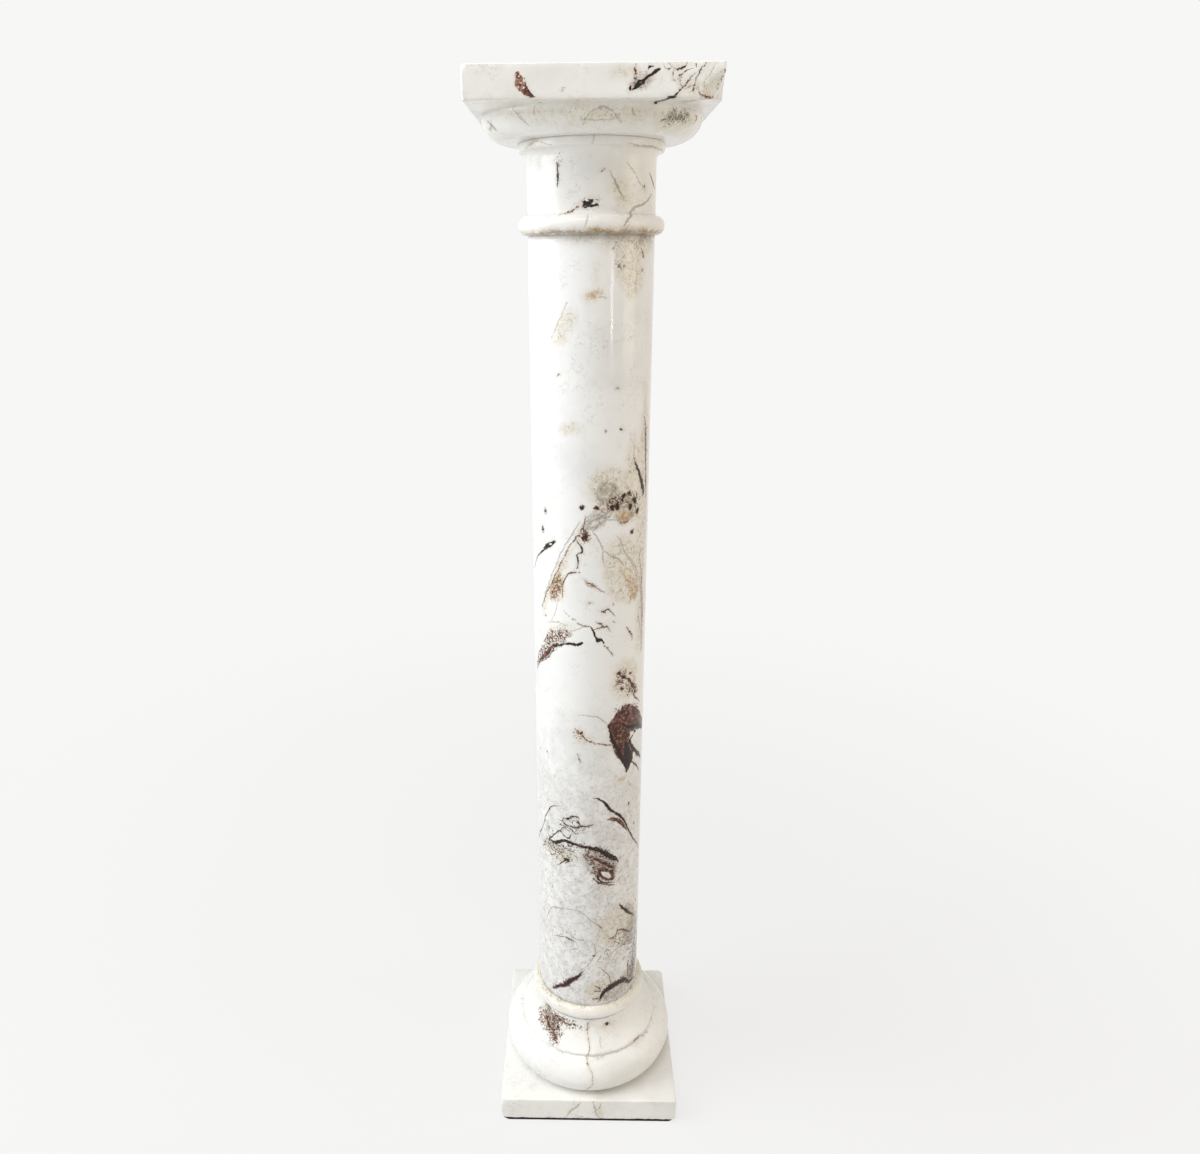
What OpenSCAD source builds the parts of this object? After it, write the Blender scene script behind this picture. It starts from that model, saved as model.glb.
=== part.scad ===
// Marble pedestal column of the Tuscan kind: a square plinth with a round base,
// a plain shaft and a moulded capital, standing on a thin pad.
// Millimetres, +Z up. The origin is the centre of the underside of the pad.

/* [Overall] */
// Side of the square plinth
plinth_side = 200; // [165:1:280]
// Side of the square abacus
abacus_side = 200; // [160:1:280]
// Length of the shaft between base and capital
shaft_length = 828; // [300:1:1400]

/* [Shaft] */
// Radius at the foot of the shaft
shaft_foot_radius = 58; // [40:0.5:72]
// Radius at the head of the shaft, and of the neck above it
shaft_head_radius = 57; // [40:0.5:72]

/* [Floor pad] */
// Thickness of the pad under the plinth
pad_thickness = 3; // [1:0.5:8]
// Distance that the pad stays back from the plinth's sides
pad_inset = 0.5; // [0.5:0.5:20]
// Corner radius of the pad
pad_corner_radius = 9; // [1:0.5:30]

/* [Base] */
// Height of the plinth
plinth_height = 28; // [15:1:60]
// Height of the large torus
torus_height = 44; // [25:1:60]
// Distance that the torus stays back from the plinth's sides
torus_setback = 1.5; // [0:0.5:10]
// Height of the fillet on top of the torus
fillet_height = 3; // [1:0.5:8]
// Distance that the fillet stays back from the torus
fillet_setback = 19; // [10:0.5:22]
// Height of the cavetto
cavetto_height = 33; // [20:1:50]
// How far the narrow top of the cavetto stands out from the shaft
cavetto_projection = 3.5; // [1:0.5:6]
// Height of the foot ring that carries the shaft
foot_ring_height = 16; // [8:1:24]
// How far the foot ring stands out from the shaft
foot_ring_projection = 7.5; // [5:0.5:12]

/* [Capital] */
// Height of the half-round collar at the foot of the capital
collar_height = 16.5; // [8:0.5:24]
// How far the collar stands out from the head of the shaft
collar_projection = 8.5; // [4:0.5:14]
// Height of the plain neck between collar and cove
neck_height = 45; // [20:0.5:90]
// Height of the narrow ring under the echinus
neck_ring_height = 7.5; // [5:0.5:14]
// How far the narrow ring stands out from the neck
neck_ring_projection = 7; // [4:0.5:12]
// Radius that the narrow ring's outer edges are rounded to
neck_ring_edge = 2; // [0.5:0.25:2.25]
// Height of the echinus, a quarter round
echinus_height = 20; // [10:0.5:24]
// Distance that the echinus stays back from the abacus's sides
echinus_setback = 5; // [1:0.5:12]
// Height of the abacus
abacus_height = 25; // [12:1:50]

/* [Finish] */
// Radius that the arrises of the plinth and the abacus are eased to
arris_radius = 1.2; // [0.3:0.1:3]

/* [Hidden] */
$fn = 96;

plinth_z = pad_thickness;
torus_z = plinth_z + plinth_height;
fillet_z = torus_z + torus_height;
cavetto_z = fillet_z + fillet_height;
foot_ring_z = cavetto_z + cavetto_height;
shaft_z = foot_ring_z + foot_ring_height;
collar_z = shaft_z + shaft_length;
neck_z = collar_z + collar_height;
cove_z = neck_z + neck_height;
cove_radius = neck_ring_projection - neck_ring_edge / 2;
neck_ring_z = cove_z + cove_radius;
echinus_z = neck_ring_z + neck_ring_height;
abacus_z = echinus_z + echinus_height;

pad_side = plinth_side - 2 * pad_inset;
torus_radius = plinth_side / 2 - torus_setback;
fillet_radius = torus_radius - fillet_setback;
cavetto_top_radius = shaft_foot_radius + cavetto_projection;
echinus_radius = abacus_side / 2 - echinus_setback;

// The cavetto is an arc that stands upright at its top and leans out to the fillet.
cavetto_reach = fillet_radius - cavetto_top_radius;
cavetto_arc = (pow(cavetto_reach, 2) + pow(cavetto_height, 2)) / (2 * cavetto_reach);

// Half-round moulding of outer radius r and height h, solid to the axis.
module half_round(r, h) {
    translate([r - h / 2, h / 2])
        circle(d = h);
    square([r - h / 2, h]);
}

// Band of outer radius r and height h with rounded outer edges, solid to the axis.
module rounded_band(r, h, edge) {
    square([r - edge, h]);
    translate([0, edge])
        square([r, h - 2 * edge]);
    for (y = [edge, h - edge])
        translate([r - edge, y])
            circle(r = edge);
}

// Quarter round that is widest at its top, solid to the axis.
module quarter_round(r, h) {
    square([r - h, h]);
    intersection() {
        square([r, h]);
        translate([r - h, h])
            circle(r = h);
    }
}

// Rectangle centred on the origin with its four corners rounded.
module rounded_rectangle(size, corner) {
    square([size.x - 2 * corner, size.y], center = true);
    square([size.x, size.y - 2 * corner], center = true);
    for (x = [-1, 1], y = [-1, 1])
        translate([x * (size.x / 2 - corner), y * (size.y / 2 - corner)])
            circle(r = corner);
}

// Square slab on z = 0 with every arris eased to the same radius.
module eased_slab(side, height, edge) {
    translate([0, 0, height / 2])
        intersection() {
            linear_extrude(height, center = true)
                rounded_rectangle([side, side], edge);
            rotate([90, 0, 0])
                linear_extrude(side, center = true)
                    rounded_rectangle([side, height], edge);
            rotate([90, 0, 90])
                linear_extrude(side, center = true)
                    rounded_rectangle([side, height], edge);
        }
}

module floor_pad() {
    color("#1b1b1d")
        linear_extrude(pad_thickness)
            rounded_rectangle([pad_side, pad_side], pad_corner_radius);
}

// Profile of the base above the plinth: torus, fillet, cavetto and foot ring.
module base_profile() {
    translate([0, torus_z])
        half_round(torus_radius, torus_height);
    translate([0, fillet_z])
        square([fillet_radius, fillet_height]);
    difference() {
        translate([0, cavetto_z])
            square([fillet_radius, cavetto_height]);
        translate([cavetto_top_radius + cavetto_arc, foot_ring_z])
            circle(r = cavetto_arc);
    }
    translate([0, foot_ring_z])
        half_round(shaft_foot_radius + foot_ring_projection, foot_ring_height);
}

module base() {
    color("#f1efea") {
        translate([0, 0, plinth_z])
            eased_slab(plinth_side, plinth_height, arris_radius);
        rotate_extrude()
            base_profile();
    }
}

module shaft() {
    color("#e6e2db")
        translate([0, 0, shaft_z])
            cylinder(h = shaft_length, r1 = shaft_foot_radius, r2 = shaft_head_radius);
}

// Profile of the capital under the abacus: collar, neck, cove, ring and echinus.
module capital_profile() {
    translate([0, collar_z])
        half_round(shaft_head_radius + collar_projection, collar_height);
    translate([0, neck_z])
        square([shaft_head_radius, neck_height]);
    translate([0, cove_z])
        difference() {
            square([shaft_head_radius + cove_radius, cove_radius]);
            translate([shaft_head_radius + cove_radius, 0])
                circle(r = cove_radius);
        }
    translate([0, neck_ring_z])
        rounded_band(shaft_head_radius + neck_ring_projection, neck_ring_height, neck_ring_edge);
    translate([0, echinus_z])
        quarter_round(echinus_radius, echinus_height);
}

module capital() {
    color("#efece6") {
        rotate_extrude()
            capital_profile();
        translate([0, 0, abacus_z])
            eased_slab(abacus_side, abacus_height, arris_radius);
    }
}

floor_pad();
base();
shaft();
capital();
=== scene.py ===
"""A marble pedestal column: pad, base, shaft and capital, built in the order they are stacked."""
import bpy
import math
from mathutils import Matrix, Vector


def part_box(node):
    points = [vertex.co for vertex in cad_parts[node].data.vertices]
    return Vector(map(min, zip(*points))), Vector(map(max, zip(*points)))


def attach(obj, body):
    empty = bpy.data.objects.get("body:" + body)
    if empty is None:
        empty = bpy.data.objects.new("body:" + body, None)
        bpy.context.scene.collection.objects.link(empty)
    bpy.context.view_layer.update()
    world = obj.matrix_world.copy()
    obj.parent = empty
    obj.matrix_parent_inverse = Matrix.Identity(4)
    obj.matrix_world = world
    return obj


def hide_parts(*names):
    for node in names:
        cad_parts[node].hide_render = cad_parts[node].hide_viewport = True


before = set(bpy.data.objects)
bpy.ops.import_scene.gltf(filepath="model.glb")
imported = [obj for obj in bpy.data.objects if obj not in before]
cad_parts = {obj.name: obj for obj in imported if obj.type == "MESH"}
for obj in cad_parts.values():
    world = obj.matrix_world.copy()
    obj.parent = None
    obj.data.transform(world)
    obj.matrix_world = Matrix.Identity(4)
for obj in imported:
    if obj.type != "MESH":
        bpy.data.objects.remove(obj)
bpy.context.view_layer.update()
scene = bpy.context.scene


# Studio: a pale floor that runs into a pale background, a broad cool lamp on the left,
# a weaker warm lamp on the right and a thin strip lamp for the polish. The camera stands
# a little below the height of the abacus and looks down the column.
def linear(red, green, blue):
    return tuple((c / 255 / 12.92) if c <= 10 else ((c / 255 + 0.055) / 1.055) ** 2.4
                 for c in (red, green, blue)) + (1.0,)


background = linear(247, 247, 246)
floor_half = 6.0
floor_fade = (0.25, 1.5)
floor_paleness = 0.76

floor_mesh = bpy.data.meshes.new("floor")
floor_mesh.from_pydata([(x * floor_half, y * floor_half, 0.0) for x, y in
                        ((-1, -1), (1, -1), (1, 1), (-1, 1))], [], [(0, 1, 2, 3)])
floor = bpy.data.objects.new("floor", floor_mesh)
scene.collection.objects.link(floor)
floor_paper = bpy.data.materials.new("floor_paper")
floor_paper.use_nodes = True
floor_mesh.materials.append(floor_paper)


class Bench:
    """Makes and wires the nodes of one tree."""

    def __init__(self, tree):
        self.tree = tree

    def node(self, kind, **settings):
        made = self.tree.nodes.new(kind)
        for key, value in settings.items():
            setattr(made, key, value)
        return made

    def feed(self, value, socket):
        if isinstance(value, bpy.types.NodeSocket):
            self.tree.links.new(value, socket)
        else:
            socket.default_value = value

    def calc(self, operation, *values):
        made = self.node("ShaderNodeMath", operation=operation)
        for value, socket in zip(values, made.inputs):
            self.feed(value, socket)
        return made.outputs[0]

    def times(self, first, second):
        return self.calc("MULTIPLY", first, second)

    def plus(self, first, second):
        return self.calc("ADD", first, second)

    def minus(self, first, second):
        return self.calc("SUBTRACT", first, second)

    def most(self, first, second):
        return self.calc("MAXIMUM", first, second)

    def direct_rays(self):
        """Camera, mirror and glass rays together, as one value of 0 or 1."""
        path = self.node("ShaderNodeLightPath")
        total = path.outputs["Is Camera Ray"]
        for kind in ("Is Glossy Ray", "Is Transmission Ray"):
            total = self.most(total, path.outputs[kind])
        return total

    def mixed(self, share, first, second, output):
        """Two shaders mixed by a share, sent to a new output node."""
        mix = self.node("ShaderNodeMixShader")
        self.feed(share, mix.inputs["Fac"])
        self.feed(first.outputs[0], mix.inputs[1])
        self.feed(second.outputs[0], mix.inputs[2])
        self.feed(mix.outputs["Shader"], self.node(output).inputs["Surface"])


paper = Bench(floor_paper.node_tree)
paper.tree.nodes.clear()
paper_lit = paper.node("ShaderNodeBsdfDiffuse")
paper_lit.inputs["Color"].default_value = (0.74, 0.735, 0.72, 1.0)
paper_glow = paper.node("ShaderNodeEmission")
paper_glow.inputs["Color"].default_value = background
paper_away = paper.node("ShaderNodeVectorMath", operation="LENGTH")
paper.feed(paper.node("ShaderNodeTexCoord").outputs["Object"], paper_away.inputs[0])
paper_fade = paper.node("ShaderNodeMapRange", interpolation_type="SMOOTHSTEP")
paper.feed(paper_away.outputs["Value"], paper_fade.inputs["Value"])
paper_fade.inputs["From Min"].default_value = floor_fade[0]
paper_fade.inputs["From Max"].default_value = floor_fade[1]
paper_fade.inputs["To Min"].default_value = floor_paleness
paper_seen = paper.times(paper_fade.outputs["Result"], paper.direct_rays())
paper.mixed(paper_seen, paper_lit, paper_glow, "ShaderNodeOutputMaterial")

world = bpy.data.worlds.new("studio_air")
scene.world = world
world.use_nodes = True
air = Bench(world.node_tree)
air.tree.nodes.clear()
air_light = air.node("ShaderNodeBackground")
air_light.inputs["Color"].default_value = (1.0, 0.985, 0.96, 1.0)
air_light.inputs["Strength"].default_value = 0.41
air_seen = air.node("ShaderNodeBackground")
air_seen.inputs["Color"].default_value = background
air.mixed(air.direct_rays(), air_light, air_seen, "ShaderNodeOutputWorld")


def lamp(name, place, target, size, power, colour):
    light = bpy.data.lights.new(name, "AREA")
    light.shape = "RECTANGLE"
    light.size, light.size_y = size
    light.energy = power
    light.color = colour
    holder = bpy.data.objects.new(name, light)
    holder.location = place
    holder.rotation_euler = (Vector(target) - Vector(place)).to_track_quat("-Z", "Y").to_euler()
    scene.collection.objects.link(holder)


lamp("cool_window", (-2.3, -0.45, 1.75), (0, 0, 0.5), (1.5, 2.2), 56, (0.94, 0.975, 1.0))
lamp("soft_ceiling", (-0.4, -0.9, 2.8), (0, 0, 0.6), (1.6, 1.6), 25, (1.0, 0.99, 0.97))
lamp("warm_room", (2.0, -0.6, 1.3), (0, 0, 0.45), (1.0, 1.6), 12, (1.0, 0.80, 0.55))
lamp("polish_strip", (0.95, -1.25, 0.86), (0, 0, 0.9), (0.035, 0.30), 0.9, (1.0, 1.0, 1.0))

camera_data = bpy.data.cameras.new("camera")
camera_data.sensor_width = 36.0
camera_data.lens = 26.8
camera_data.shift_x = 0.029
camera_data.clip_start = 0.01
camera = bpy.data.objects.new("camera", camera_data)
camera_pitch = math.radians(19.7)
camera_turn = math.radians(1.25)
camera_roll = math.radians(-0.33)
camera.matrix_world = (Matrix.Translation((-0.0064, -0.8585, 0.9374))
                       @ Matrix.Rotation(camera_turn, 4, "Z")
                       @ Matrix.Rotation(math.pi / 2 - camera_pitch, 4, "X")
                       @ Matrix.Rotation(camera_roll, 4, "Z"))
scene.collection.objects.link(camera)
scene.camera = camera
scene.view_settings.view_transform = "Standard"


# Floor pad: a sheet of dense black felt-backed rubber cut a little smaller than the plinth,
# so that only its dark edge shows. The helpers here turn a profile into a solid of
# revolution whose rows may also be square, because pad, base, shaft and capital share it.
def arc(centre, radius, start, end, steps):
    """Points of a round stretch of profile, angles in degrees, both ends included."""
    angles = [math.radians(start + (end - start) * i / steps) for i in range(steps + 1)]
    return [(centre[0] + radius * math.cos(a), centre[1] + radius * math.sin(a)) for a in angles]


def rows(points, square=0.0, wear=0.0):
    """Profile rows: radius, height, how square the row is and how much its stone is worn."""
    return [(r, z, square, wear) for r, z in points]


def steps(low, high, count):
    return [low + (high - low) * i / count for i in range(count + 1)]


def eased_slab_side(half, low, high, ease, wear):
    """Rows up the side of a square slab, from its lower arris to its upper one."""
    inner = half - ease
    side = [(half, z) for z in steps(low + ease, high - ease, 7)[1:-1]]
    return (rows(arc((inner, low + ease), ease, -90, 0, 3), 1.0, wear) + rows(side, 1.0, 0.25 * wear)
            + rows(arc((inner, high - ease), ease, 0, 90, 3), 1.0, wear))


def turning_tree():
    """Geometry Nodes: turns the rows of a profile about the upright axis."""
    tree = bpy.data.node_groups.new("turned_stone", "GeometryNodeTree")
    face = tree.interface
    face.new_socket("Profile", in_out="INPUT", socket_type="NodeSocketGeometry")
    for name, kind in (("Around", "NodeSocketInt"), ("Corner", "NodeSocketFloat"),
                       ("Wear depth", "NodeSocketFloat"), ("Wear scale", "NodeSocketFloat"),
                       ("Finish", "NodeSocketMaterial")):
        face.new_socket(name, in_out="INPUT", socket_type=kind)
    face.new_socket("Stone", in_out="OUTPUT", socket_type="NodeSocketGeometry")
    bench = Bench(tree)
    node, feed, calc = bench.node, bench.feed, bench.calc
    times, plus, minus, most = bench.times, bench.plus, bench.minus, bench.most
    given = node("NodeGroupInput")
    result = node("NodeGroupOutput")
    size = node("GeometryNodeAttributeDomainSize", component="MESH")
    tree.links.new(given.outputs["Profile"], size.inputs["Geometry"])
    row_count = size.outputs["Point Count"]
    around = given.outputs["Around"]
    grid = node("GeometryNodeMeshGrid")
    feed(minus(row_count, 1.0), grid.inputs["Size X"])
    feed(around, grid.inputs["Size Y"])
    feed(row_count, grid.inputs["Vertices X"])
    feed(plus(around, 1.0), grid.inputs["Vertices Y"])
    place = node("ShaderNodeSeparateXYZ")
    tree.links.new(node("GeometryNodeInputPosition").outputs[0], place.inputs[0])
    row = calc("ROUND", plus(place.outputs["X"], times(minus(row_count, 1.0), 0.5)))
    column = calc("ROUND", plus(place.outputs["Y"], times(around, 0.5)))

    def of_row(kind, source):
        made = node("GeometryNodeSampleIndex", data_type=kind, domain="POINT")
        tree.links.new(given.outputs["Profile"], made.inputs["Geometry"])
        tree.links.new(source, made.inputs["Value"])
        tree.links.new(row, made.inputs["Index"])
        return made.outputs[0]

    def named(name):
        made = node("GeometryNodeInputNamedAttribute", data_type="FLOAT")
        made.inputs["Name"].default_value = name
        return made.outputs["Attribute"]

    profile = node("ShaderNodeSeparateXYZ")
    tree.links.new(of_row("FLOAT_VECTOR", node("GeometryNodeInputPosition").outputs[0]), profile.inputs[0])
    radius, height = profile.outputs["X"], profile.outputs["Z"]
    square = of_row("FLOAT", named("square"))
    wear = of_row("FLOAT", named("wear"))

    # The columns crowd towards the four corners, so that a square row keeps them crisp.
    eighth = calc("DIVIDE", times(column, 8.0), around)
    side = calc("ROUND", times(eighth, 0.5))
    along = minus(eighth, times(side, 2.0))
    spread = minus(1.0, calc("POWER", minus(1.0, calc("ABSOLUTE", along)), 1.45))
    turn = calc("ARCTANGENT", spread)
    corner = calc("MINIMUM", given.outputs["Corner"], radius)
    flat = minus(radius, corner)
    over = most(minus(times(radius, spread), flat), 0.0)
    bend = times(calc("DIVIDE", over, most(corner, 1e-6)), math.pi / 4)
    is_bent = calc("GREATER_THAN", over, 0.0)
    straight_y = times(radius, spread)
    bent_x = plus(flat, times(corner, calc("COSINE", bend)))
    bent_y = plus(flat, times(corner, calc("SINE", bend)))

    def blend(low, high, share):
        return plus(low, times(minus(high, low), share))

    square_x = blend(radius, bent_x, is_bent)
    square_y = blend(straight_y, bent_y, is_bent)
    out_x = blend(times(radius, calc("COSINE", turn)), square_x, square)
    out_y = blend(times(radius, calc("SINE", turn)), square_y, square)
    point = node("ShaderNodeCombineXYZ")
    feed(out_x, point.inputs["X"])
    feed(times(out_y, calc("SIGN", along)), point.inputs["Y"])
    feed(height, point.inputs["Z"])
    quarter = node("ShaderNodeVectorRotate", rotation_type="Z_AXIS")
    tree.links.new(point.outputs[0], quarter.inputs["Vector"])
    feed(times(side, math.pi / 2), quarter.inputs["Angle"])

    keep = node("GeometryNodeStoreNamedAttribute", data_type="FLOAT", domain="POINT")
    keep.inputs["Name"].default_value = "wear"
    tree.links.new(grid.outputs["Mesh"], keep.inputs["Geometry"])
    tree.links.new(wear, keep.inputs["Value"])
    shape = node("GeometryNodeSetPosition")
    tree.links.new(keep.outputs["Geometry"], shape.inputs["Geometry"])
    tree.links.new(quarter.outputs[0], shape.inputs["Position"])
    weld = node("GeometryNodeMergeByDistance")
    weld.inputs["Distance"].default_value = 2e-6
    outward = node("GeometryNodeFlipFaces")
    tree.links.new(shape.outputs["Geometry"], outward.inputs[0])
    tree.links.new(outward.outputs[0], weld.inputs["Geometry"])

    # Handling has rubbed the arrises: small dips, only ever inwards.
    rub = node("ShaderNodeTexNoise", noise_dimensions="3D")
    feed(given.outputs["Wear scale"], rub.inputs["Scale"])
    rub.inputs["Detail"].default_value = 4.0
    rub.inputs["Roughness"].default_value = 0.6
    bite = most(minus(rub.outputs[0], 0.46), 0.0)
    depth = times(times(bite, named("wear")), given.outputs["Wear depth"])
    inward = node("ShaderNodeVectorMath", operation="SCALE")
    tree.links.new(node("GeometryNodeInputNormal").outputs[0], inward.inputs[0])
    feed(times(depth, -1.0), inward.inputs["Scale"])
    worn = node("GeometryNodeSetPosition")
    tree.links.new(weld.outputs["Geometry"], worn.inputs["Geometry"])
    tree.links.new(inward.outputs[0], worn.inputs["Offset"])
    soft = node("GeometryNodeSetShadeSmooth")
    tree.links.new(worn.outputs["Geometry"], soft.inputs["Geometry"])
    real = node("GeometryNodeRealizeInstances")
    tree.links.new(soft.outputs[0], real.inputs[0])
    finish = node("GeometryNodeSetMaterial")
    tree.links.new(real.outputs[0], finish.inputs["Geometry"])
    tree.links.new(given.outputs["Finish"], finish.inputs["Material"])
    tree.links.new(finish.outputs[0], result.inputs[0])
    return tree


turned_stone = turning_tree()


def turned_piece(name, profile, material, around, corner, wear_depth, wear_scale):
    """A closed mesh turned from profile rows; the modifier is applied and gone."""
    outline = bpy.data.meshes.new(name + "_profile")
    outline.from_pydata([(r, 0.0, z) for r, z, _, _ in profile],
                        [(i, i + 1) for i in range(len(profile) - 1)], [])
    for attribute, column in (("square", 2), ("wear", 3)):
        values = outline.attributes.new(attribute, "FLOAT", "POINT").data
        for value, row in zip(values, profile):
            value.value = row[column]
    holder = bpy.data.objects.new(name + "_profile", outline)
    scene.collection.objects.link(holder)
    modifier = holder.modifiers.new("turn", "NODES")
    modifier.node_group = turned_stone
    sockets = {item.name: item.identifier for item in turned_stone.interface.items_tree
               if item.in_out == "INPUT"}
    for label, value in (("Around", around), ("Corner", corner), ("Wear depth", wear_depth),
                         ("Wear scale", wear_scale), ("Finish", material)):
        modifier[sockets[label]] = value
    bpy.context.view_layer.update()
    ready = holder.evaluated_get(bpy.context.evaluated_depsgraph_get())
    mesh = bpy.data.meshes.new_from_object(ready)
    mesh.name = name
    mesh.materials.clear()
    mesh.materials.append(material)
    for polygon in mesh.polygons:
        polygon.material_index = 0
    bpy.data.objects.remove(holder)
    piece = bpy.data.objects.new(name, mesh)
    scene.collection.objects.link(piece)
    return piece


pad_low, pad_high = (Vector(c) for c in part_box("floor_pad"))
pad_half = pad_high.x
pad_ease = 0.0004
pad_corner = 0.009
pad_profile = (rows([(r, pad_low.z) for r in steps(0.0, pad_half - pad_ease, 4)[:-1]], 1.0)
               + eased_slab_side(pad_half, pad_low.z, pad_high.z, pad_ease, 1.0)
               + rows([(r, pad_high.z) for r in steps(pad_half - pad_ease, 0.0, 4)[1:]], 1.0))
rubber = bpy.data.materials.new("black_rubber_felt")
rubber.use_nodes = True
felt = Bench(rubber.node_tree)
felt_skin = felt.tree.nodes["Principled BSDF"]
felt_skin.inputs["Specular IOR Level"].default_value = 0.3
felt_fluff = felt.node("ShaderNodeTexNoise")
felt.feed(felt.node("ShaderNodeTexCoord").outputs["Object"], felt_fluff.inputs["Vector"])
felt_fluff.inputs["Scale"].default_value = 900.0
felt_fluff.inputs["Detail"].default_value = 5.0
felt_tone = felt.node("ShaderNodeValToRGB")
for end, position, colour in ((0, 0.3, linear(14, 14, 16)), (1, 0.75, linear(46, 45, 47))):
    felt_tone.color_ramp.elements[end].position = position
    felt_tone.color_ramp.elements[end].color = colour
felt_dull = felt.node("ShaderNodeMapRange")
felt_dull.inputs["To Min"].default_value = 0.75
felt_dull.inputs["To Max"].default_value = 0.95
felt_nap = felt.node("ShaderNodeBump")
felt_nap.inputs["Strength"].default_value = 0.5
felt_nap.inputs["Distance"].default_value = 0.0004
for changed, way_in, way_out in ((felt_tone, "Fac", "Base Color"), (felt_dull, "Value", "Roughness"),
                                 (felt_nap, "Height", "Normal")):
    felt.feed(felt_fluff.outputs[0], changed.inputs[way_in])
    felt.feed(changed.outputs[0], felt_skin.inputs[way_out])
pad = turned_piece("felt_pad", pad_profile, rubber, 192, pad_corner, 0.0006, 160.0)
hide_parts("floor_pad")
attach(pad, "root")


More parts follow.
